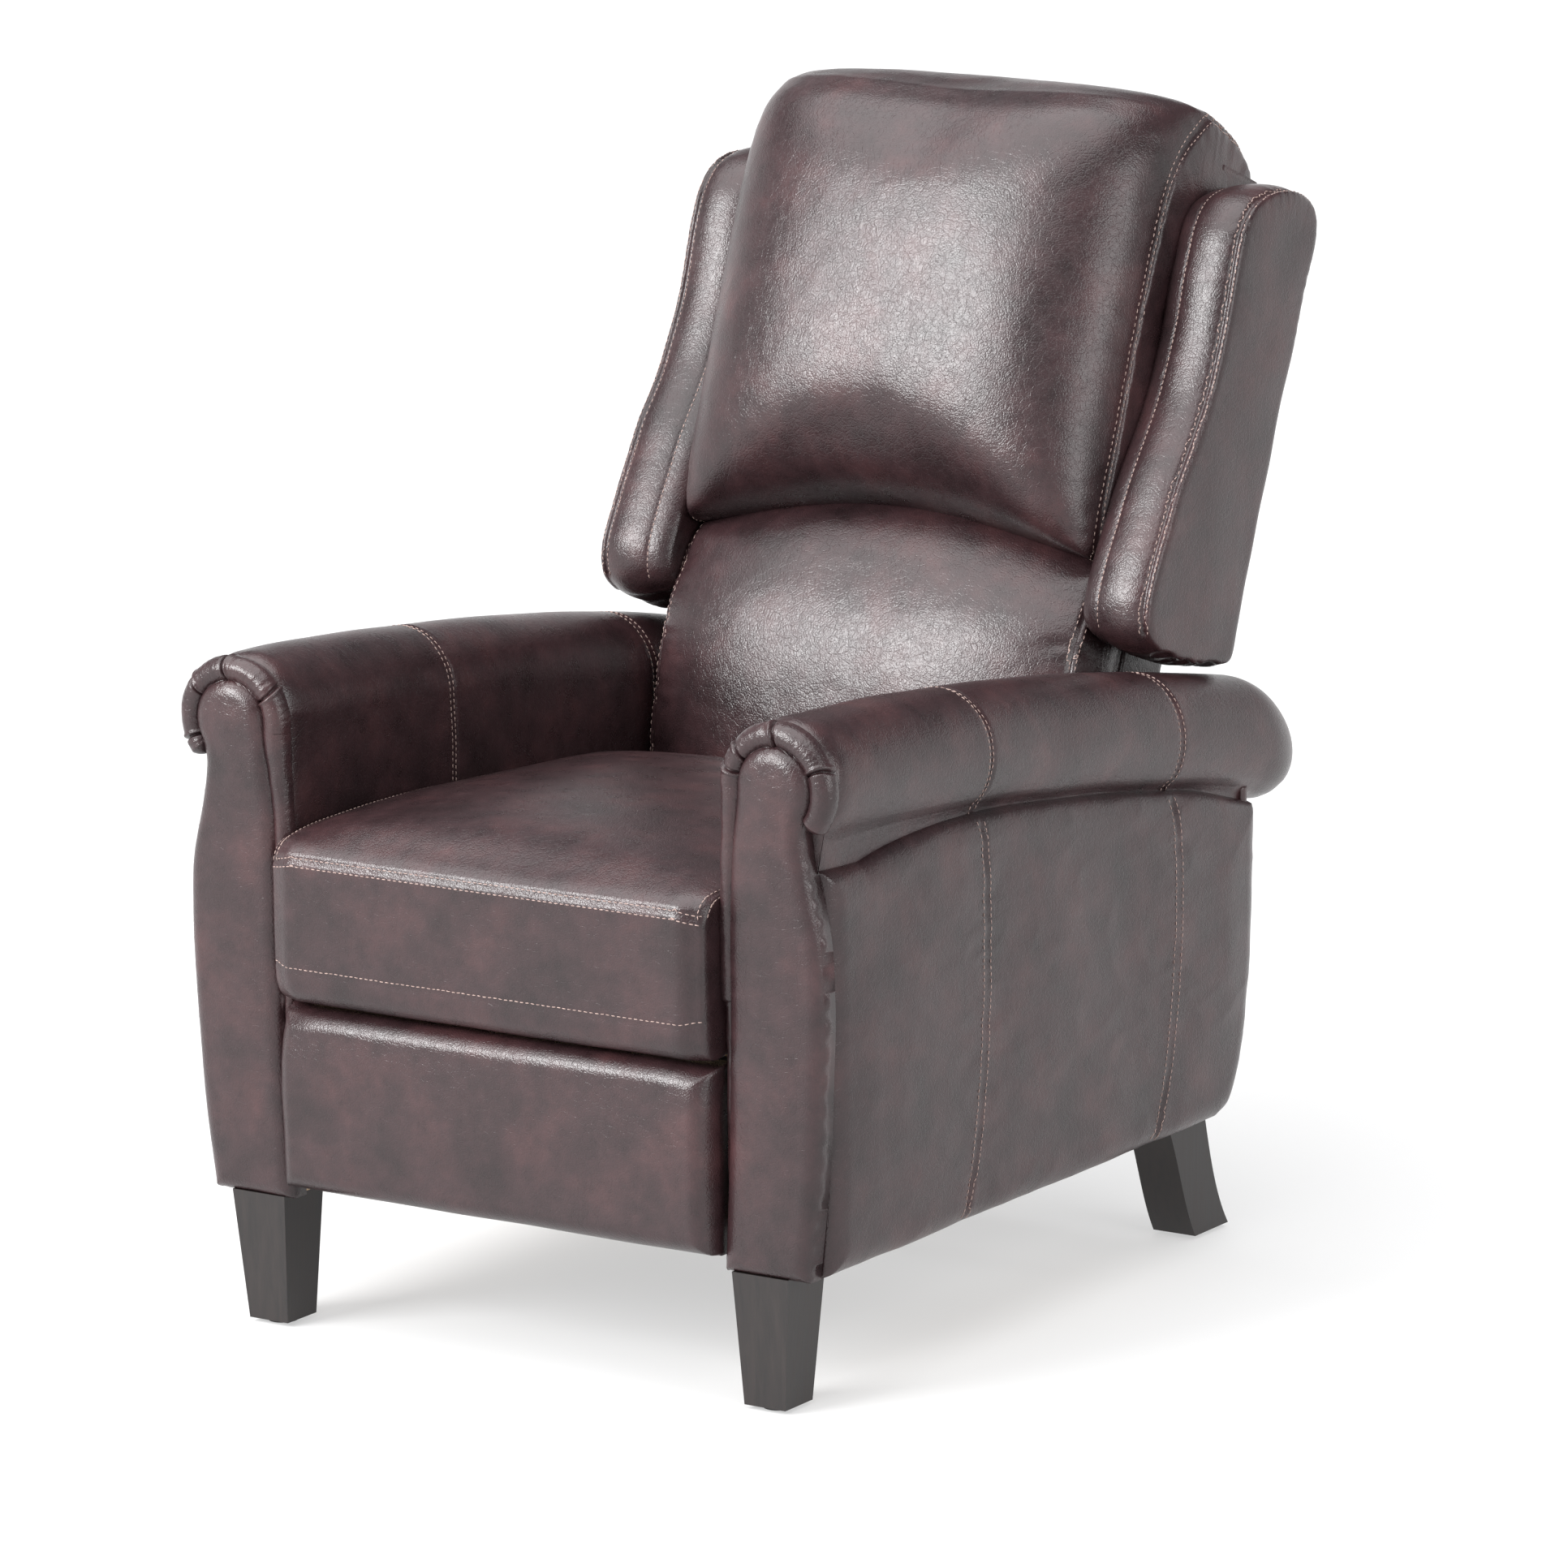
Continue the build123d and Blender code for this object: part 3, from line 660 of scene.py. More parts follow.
def side_outline():
    """Bottom, top, front and rear edges of the outer side panel, as (y, z)."""
    columns, rows = 250, 130
    rear_top = float(roll_z(757) - crease_drop(757)) + 4
    bottom = np.stack([np.linspace(16, 688, columns), np.full(columns, 127.0)], 1)
    rear = curve([(688, 127), (712, 139), (734, 186), (747, 255), (753, 333), (757, rear_top)], rows)
    ys = np.linspace(16, 757, columns)
    top = np.stack([ys, roll_z(ys) - crease_drop(ys) + 4], 1)
    top[-1] = rear[-1]
    front = np.stack([np.full(rows, 16.0), np.linspace(127, top[0, 1], rows)], 1)
    return bottom, top, front, rear


def side_seam(y, sign):
    """A side seam that falls from the roll and turns forward near the bottom."""
    down = np.linspace(0, 1, 160)
    z = (roll_z(y) - crease_drop(y) - 1) * (1 - down) + 129 * down
    line = np.stack([np.full_like(z, 345.0), y - 34 * down**2.2, z], 1)
    return place(line) if sign > 0 else mirrored(place(line))


def arm_outer_panel(side, sign):
    bottom, top, front, rear = side_outline()
    grid = patch(bottom, top, front, rear)
    outline = np.concatenate([bottom, rear, top[::-1], front[::-1]])
    distance = edge_distance(grid, outline)
    y, z = grid[..., 0], grid[..., 1]
    edge = 16 * quarter_round(distance, 26)
    belly = 5.0 * np.sin(np.clip((z - 130) / 360, 0, 1) * math.pi) * rise(distance / 70)
    x = 330 + edge + belly
    front_face = place(np.stack([x, y, z], -1))
    back_face = place(np.stack([np.full_like(x, 326.0), y, z], -1))
    form = slab(front_face, back_face)
    piece = make_leather(f"Arm_side_panel_{side}", form, "base", sign)
    wrinkle(piece, 1.8, 120, (1, 1, 1.4), seed=41 + sign, where=on_outer_face)
    wrinkle(piece, 0.5, 30, (1, 2.2, 1), seed=43 + sign, ridges=True, where=on_outer_face)
    lines = [side_seam(seam_y, sign) for seam_y in ARM_SEAMS_Y]
    sew(piece, lines, depth=3.0, width=3.2, pucker=1.5, reach=24, gap=20, seed=51 + sign)
    stitches(f"Arm_side_stitches_{side}", piece, lines, (-6, 6), "base")
    return cushion(piece, [f"arm_outer_panel_{side}"])


def on_outer_face(points):
    """1 on the side panel's outer face, 0 on the flat face behind it."""
    return rise((np.abs(points[:, 0]) / MM - 331) / 6)


def arm_rear_panel(side, sign):
    """The padded strip that closes the arm's back, its top tucked under the roll."""
    rows, columns, near, far = 110, 40, 243.4, 334.0
    top = float(roll_z(752)) - 44
    line = curve([(694, 129), (715, 142), (735, 190), (747, 255), (752, 333), (755, top)], rows)
    x = np.linspace(near, far, columns)[None, :] * np.ones((rows, 1))
    y = np.repeat(line[:, :1], columns, 1)
    z = np.repeat(line[:, 1:], columns, 1)
    distance = np.minimum(np.minimum(x - near, far - x), z - 129)
    swell = 7 * quarter_round(distance, 14)
    outer = place(np.stack([x, y - 5 + swell, z], -1))
    form = slab(outer, place(np.stack([x, y - 14, z], -1)))
    piece = make_leather(f"Arm_rear_panel_{side}", form, "base", sign)
    wrinkle(piece, 1.0, 60, seed=61 + sign)
    return cushion(piece, [f"arm_rear_panel_{side}"])


def plaque_edges(z):
    """Inner and outer x of the keyhole-shaped front panel at a height."""
    inner = [(126, 241), (250, 247.5), (372, 250), (440, 250.5), (500, 253), (530, 256.5), (552, 260)]
    inner += [(572, 262)]
    outer = [(126, 331), (230, 343), (340, 349), (395, 350), (440, 347), (490, 335), (526, 329)]
    outer += [(545, 330.5), (560, 335.5)]
    low_in, low_out = (np.interp(z, *curve(line, 200).T) for line in (inner, outer))
    cx, cz = PANEL_HEAD
    half = np.sqrt(np.clip(PANEL_HEAD_RADIUS**2 - (z - cz) ** 2, 0, None))
    round_in, round_out = rise((z - 566) / 6), rise((z - 548) / 10)
    x_in = low_in * (1 - round_in) + (cx - half) * round_in
    return x_in, low_out * (1 - round_out) + (cx + half) * round_out


def arm_front_panel(side, sign):
    """The padded plaque on the arm's front."""
    head_z = 610 - 65 * np.cos(np.linspace(0, 1, 42)[1:] * math.pi / 2)
    z = np.clip(np.concatenate([np.linspace(127, 545, 150), head_z]), 127, 609.9)
    inner, outer = plaque_edges(z)
    across = np.linspace(0, 1, 44)[None, :]
    across = 0.5 - 0.5 * np.cos(across * math.pi)
    x = inner[:, None] * (1 - across) + outer[:, None] * across
    grid = np.stack([x, np.repeat(z[:, None], x.shape[1], 1)], -1)
    outline = np.concatenate([np.stack([inner, z], 1), np.stack([outer, z], 1)[::-1], grid[0]])
    distance = edge_distance(grid, even(outline, 900))
    y = -1 - 11 * quarter_round(distance, 15) - 2.5 * rise(distance / 40)
    front = np.stack([x, y, grid[..., 1]], -1)
    back = np.stack([x, np.full_like(y, 14.0), grid[..., 1]], -1)
    form = slab(place(front), place(back))
    piece = make_leather(f"Arm_front_panel_{side}", form, "base", sign)
    wrinkle(piece, 1.0, 60, (1, 1, 1.8), seed=71 + sign)
    return cushion(piece, [f"arm_front_panel_{side}"])


# Where each border's deep gathers lie, as clock angles in degrees from the outer side, by sign
GATHERS = {1: (20, 90, 142, 160, 205), -1: (-27, 37, 86, 145, 198)}


def ruched_border(side, sign):
    """The gathered roll of leather round the plaque's head, running down its inner edge."""
    cx, cz = PANEL_HEAD
    reach = PANEL_HEAD_RADIUS + 9.5
    bend = 420
    clock = np.linspace(-46, 188, bend)
    angles = np.radians(clock)
    over = np.stack([cx + reach * np.cos(angles), cz + reach * np.sin(angles)], 1)
    inner_edge = [(251.5, 538), (248.5, 500), (246.5, 440), (246, 372), (246, 250), (246, 133)]
    down = curve([over[-1], *inner_edge], 300)[1:]
    path = np.concatenate([over, down])
    ahead = np.gradient(path, axis=0)
    ahead /= np.linalg.norm(ahead, axis=1)[:, None]
    outward_way = np.stack([ahead[:, 1], -ahead[:, 0]], 1)
    step = np.concatenate([[0], np.cumsum(np.linalg.norm(np.diff(path, axis=0), axis=1))])
    clock = np.concatenate([clock, np.full(len(down), 999.0)])
    around = np.linspace(0, 2 * math.pi, 40, endpoint=False)
    noise = Noise(81 + sign)
    ends = np.sqrt(np.clip(np.minimum(step / 7, (step[-1] - step) / 30), 0.003, 1))
    past = np.clip(step - step[bend - 1], 0, None)
    below_seam = rise((378 - path[:, 1]) / 12) * (past > 0)
    seam = bump((path[:, 1] - 373) / 1.6) * (past > 0)
    rings = []
    for i, (x, z) in enumerate(path):
        radius = (12.2 - 2.2 * rise(past[i] / 60) - 4.9 * below_seam[i] - 1.6 * seam[i]) * np.ones(40)
        near = np.exp(-np.min(np.abs(clock[i] - np.array(GATHERS[sign]))) / 9) * (past[i] == 0)
        fine = noise(np.stack([np.full(40, step[i] / 3.6), np.cos(around) * 0.8, np.sin(around) * 0.8], 1))
        radius += fine * (0.2 + 0.5 * near) * (1 - below_seam[i])
        radius += 0.7 * noise(np.stack([np.full(40, step[i] / 26), np.cos(around), np.sin(around) + 9], 1))
        for k, centre in enumerate(GATHERS[sign]):
            bent = clock[i] - centre - 4 * np.sin(around + k * 2)
            radius += -3.4 * bump(bent / 1.5) + 1.2 * bump((bent - 3.6) / 2.2) * (clock[i] < 900)
        radius = radius * ends[i]
        out = np.cos(around) * radius
        y = 4.5 - np.sin(around) * radius * 1.08
        rings.append(np.stack([x + outward_way[i, 0] * out, y, z + outward_way[i, 1] * out], 1))
    form = wrapped(place(rings))
    piece = make_leather(f"Arm_ruched_border_{side}", form, "base", sign)
    return cushion(piece, [f"arm_ruched_border_{side}"])


# ------------------------------------------------------------ seat, footrest and back cushions
def box_cushion(outline_at, half, columns, inset=(0.97, 0.93, 0.87, 0.79, 0.68, 0.54, 0.38, 0.2)):
    """Rings of a cushion sewn from one wrap and two side panels, and how many rings a side panel has."""
    across = np.linspace(-1, 1, columns)
    xs = half * (0.7 * across + 0.3 * np.sin(across * math.pi / 2))
    rings = []
    for x in xs:
        outline = outline_at(x)
        rings.append(np.stack([np.full(len(outline), x), outline[:, 0], outline[:, 1]], 1))

    def side_panel(ring, sign):
        middle = ring.mean(0)
        made = []
        for share in inset:
            panel = middle + (ring - middle) * share
            panel[:, 0] = ring[:, 0] + sign * (1.5 + 5.0 * (1 - share**2))
            made.append(panel)
        return made

    left, right = side_panel(rings[0], -1), side_panel(rings[-1], 1)
    return np.array(left[::-1] + rings + right), len(left)


def seam_weights(shape, ring_rows, columns=(), soft_columns=(), soft=0.5):
    """Pin weights for a wrapped cushion: whole rings, and lines across them."""
    weights = np.zeros(shape)
    weights[list(ring_rows)] = 1.0
    weights[:, list(columns)] = 1.0
    for j in soft_columns:
        weights[:, j] = np.maximum(weights[:, j], soft)
    return weights.ravel()


def seat_outline(x):
    """The seat cushion's section at a place across it."""
    side = abs(x) / SEAT_HALF
    crown = 15 * (1 - side**2.4)
    drop = 5 * rise((side - 0.88) / 0.12)
    nose = 9 * rise((side - 0.90) / 0.10)
    front = [(8, 324), (-20 + nose, 320), (-36 + nose, 335), (-38 + nose, 380), (-38 + nose, 458 - drop)]
    top = [(-38 + nose, 458 - drop), (-32 + 0.8 * nose, 467 - drop), (-14, 475 - drop)]
    top += [(20, 480 + 0.4 * crown - drop), (70, 482 + 0.8 * crown - drop), (130, 483 + crown - drop)]
    top += [(230, 480 + crown - drop), (350, 473 + crown - drop), (450, 466 + 0.7 * crown - drop)]
    top += [(508, 458 - drop)]
    rear = [(508, 458 - drop), (492, 430), (466, 356)]
    under = [(466, 356), (12, 356), (8, 324)]
    lines = [curve(front, 26)[:-1], curve(top, 76)[:-1], even(rear, 14)[:-1], even(under, 44)[:-1]]
    return np.concatenate(lines)


def seat_cushion():
    rings, inset = box_cushion(seat_outline, SEAT_HALF, 62)
    form = wrapped(place(rings))
    piece = make_leather("Seat_cushion", form, "seat_carriage")
    grid = rings.shape[:2]
    lower, edge, rear = 10, 25, 100
    seams = (inset, grid[0] - inset - 1)
    underneath, front_face = range(rear + 16, grid[1]), range(lower, edge + 1)
    held = seam_weights(grid, seams, columns=underneath, soft_columns=front_face, soft=0.8)
    puff(piece, grid, held, pressure=4.0, cap=7.0)
    points = coordinates(piece.data).reshape(*grid, 3)
    rows = slice(inset, grid[0] - inset)
    top_edge = even(points[rows, edge], 400)
    lower_line = even(points[rows, lower], 400)
    side_lines = [even(points[i, edge:rear], 300) for i in seams]
    subdivide(piece)
    wrinkle(piece, 1.0, 90, seed=91)
    sew(piece, [top_edge, *side_lines], depth=2.2, width=2.4, pucker=0.3, reach=20, gap=22, seed=92)
    sew(piece, [lower_line], depth=0.7, width=2.0, pucker=0.2, reach=14, gap=18, seed=93)
    stitches("Seat_edge_stitches", piece, [top_edge, *side_lines], (-6, 3.5), "seat_carriage")
    stitches("Seat_lower_stitches", piece, [lower_line], (3,), "seat_carriage")
    return cushion(piece, ["seat_cushion"])


def footrest_pad():
    """The footrest's pad, its leather wrapped round the edges of the board behind it."""
    rows, columns, half, low, high = 72, 180, 239.5, 141, 316
    x = np.linspace(-half, half, columns)[None, :] * np.ones((rows, 1))
    z = np.linspace(low, high, rows)[:, None] * np.ones((1, columns))
    distance = np.minimum(np.minimum(half - np.abs(x), z - low), high - z)
    corner = bump(np.hypot(half - np.abs(x), high - z) / 26)
    depth = 24 * quarter_round(distance, 20)
    depth = depth + 3 * np.sin(np.clip((z - low) / 175, 0, 1) * math.pi) - 7 * corner
    wrapped_edge = (np.abs(x) > 212) | (z < low + 5.5) | (z > high - 6.5)
    front = np.stack([x, -8 - depth, z - 3 * corner], -1)
    back = np.stack([x, np.where(wrapped_edge, 8.6, -7.2), z], -1)
    form = slab(place(front), place(back))
    piece = make_leather("Footrest_pad", form, "footrest")
    wrinkle(piece, 1.2, 60, (1.6, 1, 1), seed=101, where=facing_front)
    wrinkle(piece, 0.9, 18, (2.0, 1, 1), seed=102, ridges=True, where=near_top_corners)
    return cushion(piece, ["footrest_pad"])


def facing_front(points):
    return rise((FEET_Y - 0.010 - points[:, 1]) / 0.012)


def near_top_corners(points):
    return np.exp(-np.hypot(0.24 - np.abs(points[:, 0]), 0.316 - points[:, 2]) / 0.035)


def arch_drop(x):
    """How far the line between the two back cushions falls towards the sides."""
    return 38 * (abs(x) / LUMBAR_HALF) ** 2


def lumbar_outline(x):
    """The lumbar cushion's section: its top edge arches up in the middle."""
    side = abs(x) / LUMBAR_HALF
    arch = arch_drop(x)
    flat = 34 * side**4
    front = [(-44, 118 - flat), (-10, 136 - flat), (50, 157 - flat), (110, 171 - flat), (170, 179 - flat)]
    front += [(228 - 0.4 * arch, 178 - flat), (282 - 0.9 * arch, 163 - 0.8 * flat)]
    front += [(318 - arch, 145 - 0.5 * flat), (344 - arch, 118 - 0.3 * flat)]
    top = [(344 - arch, 118 - 0.3 * flat), (354 - arch, 90), (352 - arch, 49)]
    back = [(352 - arch, 49), (-16, 49)]
    bottom = [(-16, 49), (-38, 80), (-44, 118 - flat)]
    lines = [curve(front, 64)[:-1], curve(top, 12)[:-1], even(back, 44)[:-1], curve(bottom, 18)[:-1]]
    s, t = np.concatenate(lines).T
    return np.stack(lean(s, t), 1)


def lumbar_cushion():
    rings, inset = box_cushion(lumbar_outline, LUMBAR_HALF, 62)
    form = wrapped(place(rings))
    piece = make_leather("Lumbar_cushion", form, "back")
    grid = rings.shape[:2]
    seams = (inset, grid[0] - inset - 1)
    puff(piece, grid, seam_weights(grid, seams, columns=range(72, 118)), pressure=4.0, cap=12.0)
    points = coordinates(piece.data).reshape(*grid, 3)
    side_lines = [even(points[i, 0:64], 260) for i in seams]
    subdivide(piece)
    wrinkle(piece, 1.3, 110, seed=111)
    wrinkle(piece, 0.25, 26, (1.6, 1, 1), seed=112, ridges=True)
    sew(piece, side_lines, depth=2.8, width=3.0, pucker=1.9, reach=26, gap=16, seed=113)
    stitches("Lumbar_side_stitches", piece, side_lines, (-6, 6), "back")
    return cushion(piece, ["lumbar_cushion"])


def head_outline(x):
    """The head cushion's section: full in the middle, drawn back to its side seams."""
    side = min(abs(x) / HEAD_HALF, 1)
    full = (1 - side**5) ** 0.55
    slack = 1 - full
    arch = arch_drop(x)
    low = [(342 - arch, 60), (336 - arch, 105), (332 - arch, 132)]
    front = [(332 - arch, 132), (336 - arch, 140 + 50 * full), (372 - 0.7 * arch, 144 + 76 * full)]
    front += [(440 - 0.3 * arch, 144 + 86 * full), (520, 145 + 88 * full), (600, 144 + 90 * full)]
    front += [(665, 138 + 93 * full), (708 - 6 * slack, 124 + 94 * full), (735 - 8 * slack, 104 + 88 * full)]
    over = [(735 - 8 * slack, 104 + 88 * full), (750 - 10 * slack, 92 + 58 * full), (752 - 12 * slack, 82)]
    over += [(745 - 12 * slack, 40), (728 - 8 * slack, 8), (704, -6)]
    back = [(704, -6), (700, 48), (342 - arch, 49), (342 - arch, 60)]
    lines = [curve(low, 14)[:-1], curve(front, 72)[:-1], curve(over, 36)[:-1], even(back, 62)[:-1]]
    s, t = np.concatenate(lines).T
    return np.stack(lean(s, t), 1)


def head_cushion():
    rings, inset = box_cushion(head_outline, HEAD_HALF, 64)
    form = wrapped(place(rings))
    piece = make_leather("Head_cushion", form, "back")
    grid = rings.shape[:2]
    seams = (inset, grid[0] - inset - 1)
    puff(piece, grid, seam_weights(grid, seams, columns=range(119, grid[1])), pressure=4.0, cap=11.0)
    points = coordinates(piece.data).reshape(*grid, 3)
    side_lines = [even(points[i, 6:116], 420) for i in seams]
    subdivide(piece)
    wrinkle(piece, 1.3, 130, seed=121)
    wrinkle(piece, 0.25, 30, (1.2, 1, 1.6), seed=122, ridges=True)
    sew(piece, side_lines, depth=3.0, width=3.0, pucker=2.0, reach=30, gap=20, seed=123)
    stitches("Head_side_stitches", piece, side_lines, (-5, 5), "back")
    return cushion(piece, ["head_cushion"])


WING_OUTLINE = (
    (236, -6), (228, 20), (220, 60), (218, 100), (220, 134), (232, 154), (256, 162), (291, 160), (330, 154),
    (372, 147), (418, 134), (462, 124), (505, 120), (548, 120), (590, 122), (627, 121), (655, 108), (675, 80),
    (685, 48), (687, 18), (679, -3), (655, -13), (600, -13), (484, -9), (400, -8), (330, -8), (270, -9),
)
# Across the wing: x and how far the outline is drawn in there
WING_PROFILE = (
    (234.5, 12), (237, 9), (240.5, 6), (244, 4), (247.5, 2.6), (251, 1.8), (254, 1.2), (257, 0.6),
    (261, -0.8), (266, -2.2), (273, -3.4), (282, -4.0), (291, -3.6), (297, -2.4), (301.5, -1.0),
    (304.5, 0.3), (306.5, 1.1), (308.5, 0.6), (311, 0.8), (313, 2.2), (314.2, 4.6), (315.0, 8.5),
)


def wing(side, sign):
    """A padded wing: a crowned front band sewn to a flat outer side, with a gathered underside."""
    base = curve(WING_OUTLINE, 320, closed=True)
    middle = np.array([460.0, 60.0])
    ahead = np.roll(base, -1, 0) - np.roll(base, 1, 0)
    ahead /= np.linalg.norm(ahead, axis=1)[:, None]
    inward = np.stack([ahead[:, 1], -ahead[:, 0]], 1)
    inward *= np.sign(np.sum(inward * (middle - base), axis=1).mean())

    def ring(x, offset, share=1.0):
        shape = middle + (base + inward * offset - middle) * share
        y, z = lean(*shape.T)
        return np.stack([np.full_like(y, x), y, z], 1)

    first, last = WING_PROFILE[0], WING_PROFILE[-1]
    rings = [ring(first[0], first[1], share) for share in (0.2, 0.45, 0.7, 0.88)]
    rings += [ring(x, offset) for x, offset in WING_PROFILE]
    shares = (0.94, 0.86, 0.76, 0.64, 0.5, 0.34, 0.18)
    rings += [ring(last[0] + 1.6 * (1 - share**2), last[1], share) for share in shares]
    rings = np.array(rings)
    form = wrapped(place(rings))
    piece = make_leather(f"Wing_{side}", form, "back", sign)
    points = coordinates(piece.data).reshape(*rings.shape)
    front = slice(44, 236)
    inner_line = even(points[11, front], 300)
    outer_line = even(points[20, front], 300)
    subdivide(piece)
    wrinkle(piece, 1.2, 60, seed=131 + sign)
    wrinkle(piece, 3.0, 24, (2.4, 1, 1), seed=133 + sign, ridges=True, where=wing_underside)
    sew(piece, [inner_line], depth=0.9, width=1.6, pucker=0.5, reach=8, gap=14, seed=134 + sign)
    sew(piece, [outer_line], depth=2.0, width=2.4, pucker=0.8, reach=14, gap=15, seed=135 + sign)
    stitches(f"Wing_inner_stitches_{side}", piece, [inner_line], (0,), "back")
    stitches(f"Wing_outer_stitches_{side}", piece, [outer_line], (-4.5, 4.5), "back")
    return cushion(piece, [f"wing_pad_{side}"])


def wing_underside(points):
    """1 on the wing's lower end, fading out above it and towards its front and outer faces."""
    x = np.abs(points[:, 0]) / MM
    y = points[:, 1] / MM - FEET_Y / MM - BACK_ORIGIN[0]
    z = points[:, 2] / MM - BACK_ORIGIN[1]
    s = y * math.sin(BACK_LEAN) + z * math.cos(BACK_LEAN)
    t = -y * math.cos(BACK_LEAN) + z * math.sin(BACK_LEAN)
    return (1 - rise((s - 232) / 26)) * (1 - rise((t - 120) / 22)) * (1 - rise((x - 309) / 6))


def outside_back():
    """The plain leather sheet over the back of the frame."""
    rows, columns = 150, 100
    leaning = [lean(s, -9.5) for s in (702, 500, 300)]
    outer = curve([*leaning, (744, 515), (750, 440), (753, 300)], rows)[::-1]
    x = np.linspace(-237, 237, columns)[None, :] * np.ones((rows, 1))
    y = np.repeat(outer[:, :1], columns, 1)
    z = np.repeat(outer[:, 1:], columns, 1)
    distance = np.minimum(237 - np.abs(x), z - outer[:, 1].min())
    swell = 3.5 * quarter_round(distance, 14)
    front = np.stack([x, y + swell, z], -1)
    back = np.stack([x, y - 4.5, z], -1)
    form = slab(place(front), place(back))
    piece = make_leather("Outside_back", form, "back")
    wrinkle(piece, 1.4, 120, seed=141)
    return cushion(piece, ["outside_back_panel"])


def back_side(side, sign):
    """The leather that closes the back's side between its cushions and its outside panel."""
    rows, columns = 120, 16
    rear = curve([(751, 302), (748, 440), (742, 515), lean(300, -8), lean(500, -8), lean(703, -8)], rows)
    front = curve([(640, 302), lean(0, 66), lean(150, 66), lean(300, 66), lean(500, 60), lean(703, 60)], rows)
    share = np.linspace(0, 1, columns)[None, :, None]
    grid = rear[:, None] * (1 - share) + front[:, None] * share
    x = 238.5 + 0 * grid[..., 0]
    outer = np.stack([x, grid[..., 0], grid[..., 1]], -1)
    inner = np.stack([x - 3.2, grid[..., 0], grid[..., 1]], -1)
    form = slab(place(outer), place(inner))
    piece = make_leather(f"Back_side_cover_{side}", form, "back", sign)
    wrinkle(piece, 0.5, 60, seed=145 + sign)
    return piece


def rear_apron():
    rows, columns = 50, 140
    line = curve([(708, 130), (722, 160), (737, 200), (746, 240), (748, 268)], rows)
    x = np.linspace(-242.5, 242.5, columns)[None, :] * np.ones((rows, 1))
    y = np.repeat(line[:, :1], columns, 1)
    z = np.repeat(line[:, 1:], columns, 1)
    distance = np.minimum(np.minimum(242.5 - np.abs(x), z - 130), 268 - z)
    swell = 7 * quarter_round(distance, 16)
    outer = place(np.stack([x, y - 4 + swell, z], -1))
    form = slab(outer, place(np.stack([x, y - 14, z], -1)))
    piece = make_leather("Rear_apron", form, "base")
    wrinkle(piece, 1.2, 70, seed=151)
    return cushion(piece, ["rear_apron"])


for side, sign in SIDES:
    arm_roll(side, sign)
    arm_outer_panel(side, sign)
    arm_rear_panel(side, sign)
    arm_front_panel(side, sign)
    ruched_border(side, sign)
    wing(side, sign)
    back_side(side, sign)
seat_cushion()
footrest_pad()
lumbar_cushion()
head_cushion()
outside_back()
rear_apron()


# ------------------------------------------------------------ room, lights and camera
def floor():
    mesh = bpy.data.meshes.new("Floor")
    half = 30.0
    corners = [(-half, -half, 0), (half, -half, 0), (half, half, 0), (-half, half, 0)]
    mesh.from_pydata(corners, [], [(0, 1, 2, 3)])
    ground = bpy.data.objects.new("Floor", mesh)
    bpy.context.scene.collection.objects.link(ground)
    material, tree, shader, at = node_tree("Floor_white")
    cloud = node(tree, "ShaderNodeTexNoise", {"Vector": at, "Scale": 0.7}).outputs["Fac"]
    colour = ramp(tree, cloud, [(0.3, (0.30, 0.30, 0.30)), (0.7, (0.31, 0.31, 0.31))])
    tree.links.new(colour, shader.inputs["Base Color"])
    shader.inputs["Roughness"].default_value = 0.7
    shader.inputs["Emission Color"].default_value = (1, 1, 1, 1)
    shader.inputs["Emission Strength"].default_value = 0.52
    ground.data.materials.append(material)


def area_light(name, spot, aim, size, power):
    data = bpy.data.lights.new(name, "AREA")
    data.shape = "RECTANGLE"
    data.size, data.size_y = size
    data.energy = power
    lamp = bpy.data.objects.new(name, data)
    lamp.location = spot
    lamp.rotation_euler = (Vector(aim) - Vector(spot)).to_track_quat("-Z", "Y").to_euler()
    bpy.context.scene.collection.objects.link(lamp)


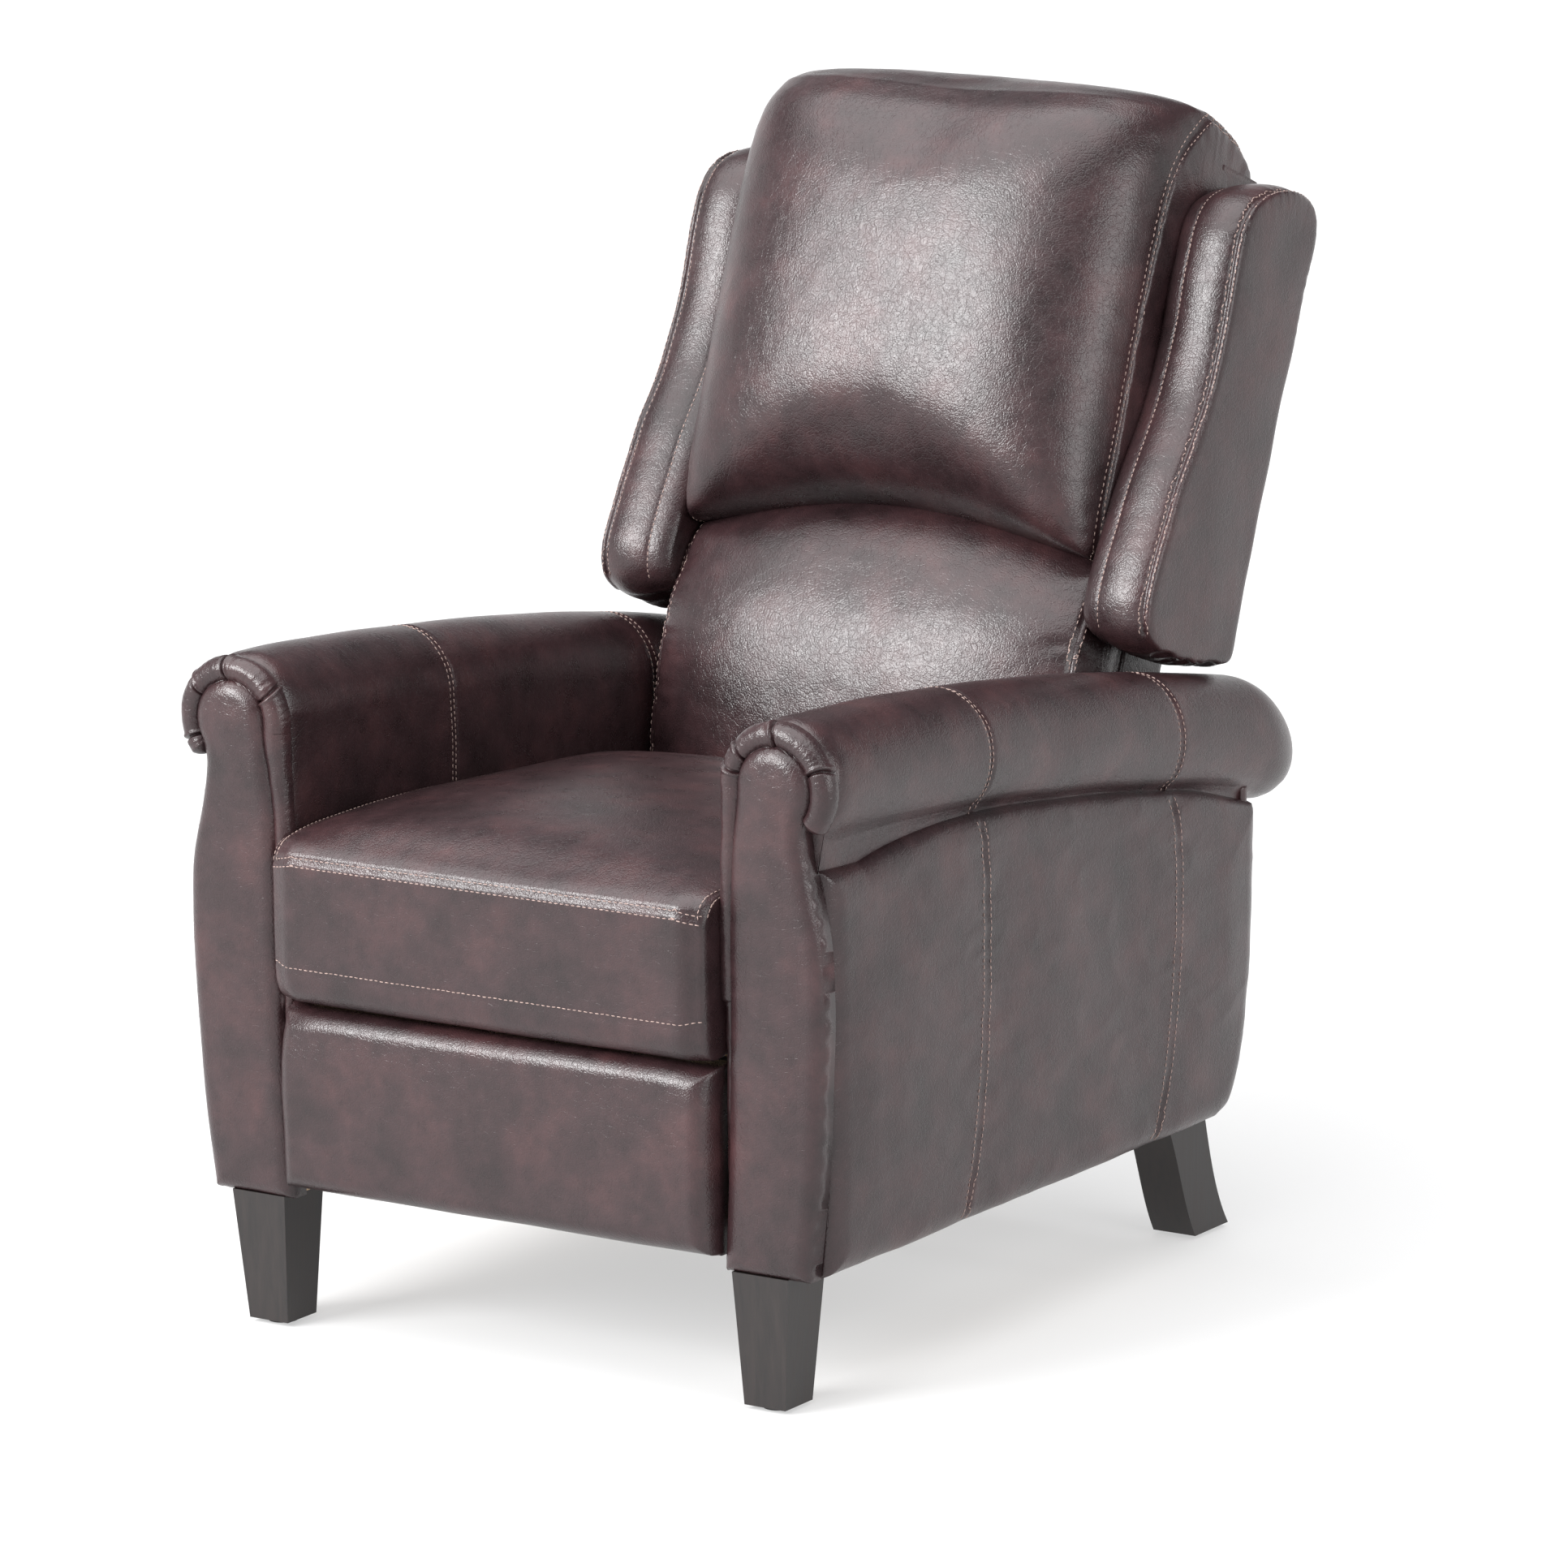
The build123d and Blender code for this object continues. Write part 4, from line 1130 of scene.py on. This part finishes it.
def world():
    """A pale studio: white towards the horizon, dimmer above it."""
    made = bpy.data.worlds.new("World")
    bpy.context.scene.world = made
    made.use_nodes = True
    tree = made.node_tree
    direction = tree.nodes.new("ShaderNodeTexCoord").outputs["Generated"]
    height = node(tree, "ShaderNodeSeparateXYZ", {"Vector": direction}).outputs["Z"]
    shade = ramp(tree, height, [(0.0, (1.0, 1.0, 1.0)), (0.22, (1.0, 1.0, 1.0)), (0.38, (0.18, 0.18, 0.19))])
    tree.links.new(shade, tree.nodes["Background"].inputs["Color"])
    tree.nodes["Background"].inputs["Strength"].default_value = 1.1
    bpy.context.scene.view_settings.view_transform = "Standard"


def sun(name, direction, spread, strength):
    data = bpy.data.lights.new(name, "SUN")
    data.angle = math.radians(spread)
    data.energy = strength
    lamp = bpy.data.objects.new(name, data)
    lamp.rotation_euler = Vector(direction).to_track_quat("Z", "Y").to_euler()
    bpy.context.scene.collection.objects.link(lamp)


CAMERA_AZIMUTH = math.radians(33.9675)
CAMERA_RISE = math.radians(12.0866)
CAMERA_ROLL = math.radians(-0.8031)
CAMERA_DISTANCE = 7.56335
CAMERA_TARGET = (93.263, 318.811, 494.829)
CAMERA_LENS = 187.83


def camera():
    back = Vector((
        math.sin(CAMERA_AZIMUTH) * math.cos(CAMERA_RISE),
        -math.cos(CAMERA_AZIMUTH) * math.cos(CAMERA_RISE),
        math.sin(CAMERA_RISE),
    ))
    right = Vector((math.cos(CAMERA_AZIMUTH), math.sin(CAMERA_AZIMUTH), 0))
    up = back.cross(right)
    turn = Matrix((right, up, back)).transposed() @ Matrix.Rotation(CAMERA_ROLL, 3, "Z")
    data = bpy.data.cameras.new("Camera")
    data.lens = CAMERA_LENS
    data.sensor_width = 36
    data.clip_end = 100
    made = bpy.data.objects.new("Camera", data)
    target = Vector(place(CAMERA_TARGET))
    made.matrix_world = Matrix.Translation(target + back * CAMERA_DISTANCE) @ turn.to_4x4()
    bpy.context.scene.collection.objects.link(made)
    bpy.context.scene.camera = made


floor()
world()
sun("Ceiling", (-0.15, -0.25, 1.0), 80, 5.0)
area_light("Softbox", (-3.5, -6.7, 4.3), (0.0, 0.1, 0.75), (4.4, 3.2), 1150)
area_light("Side_fill", (3.8, -0.6, 1.9), (0.0, 0.1, 0.5), (2.2, 2.0), 75)
camera()
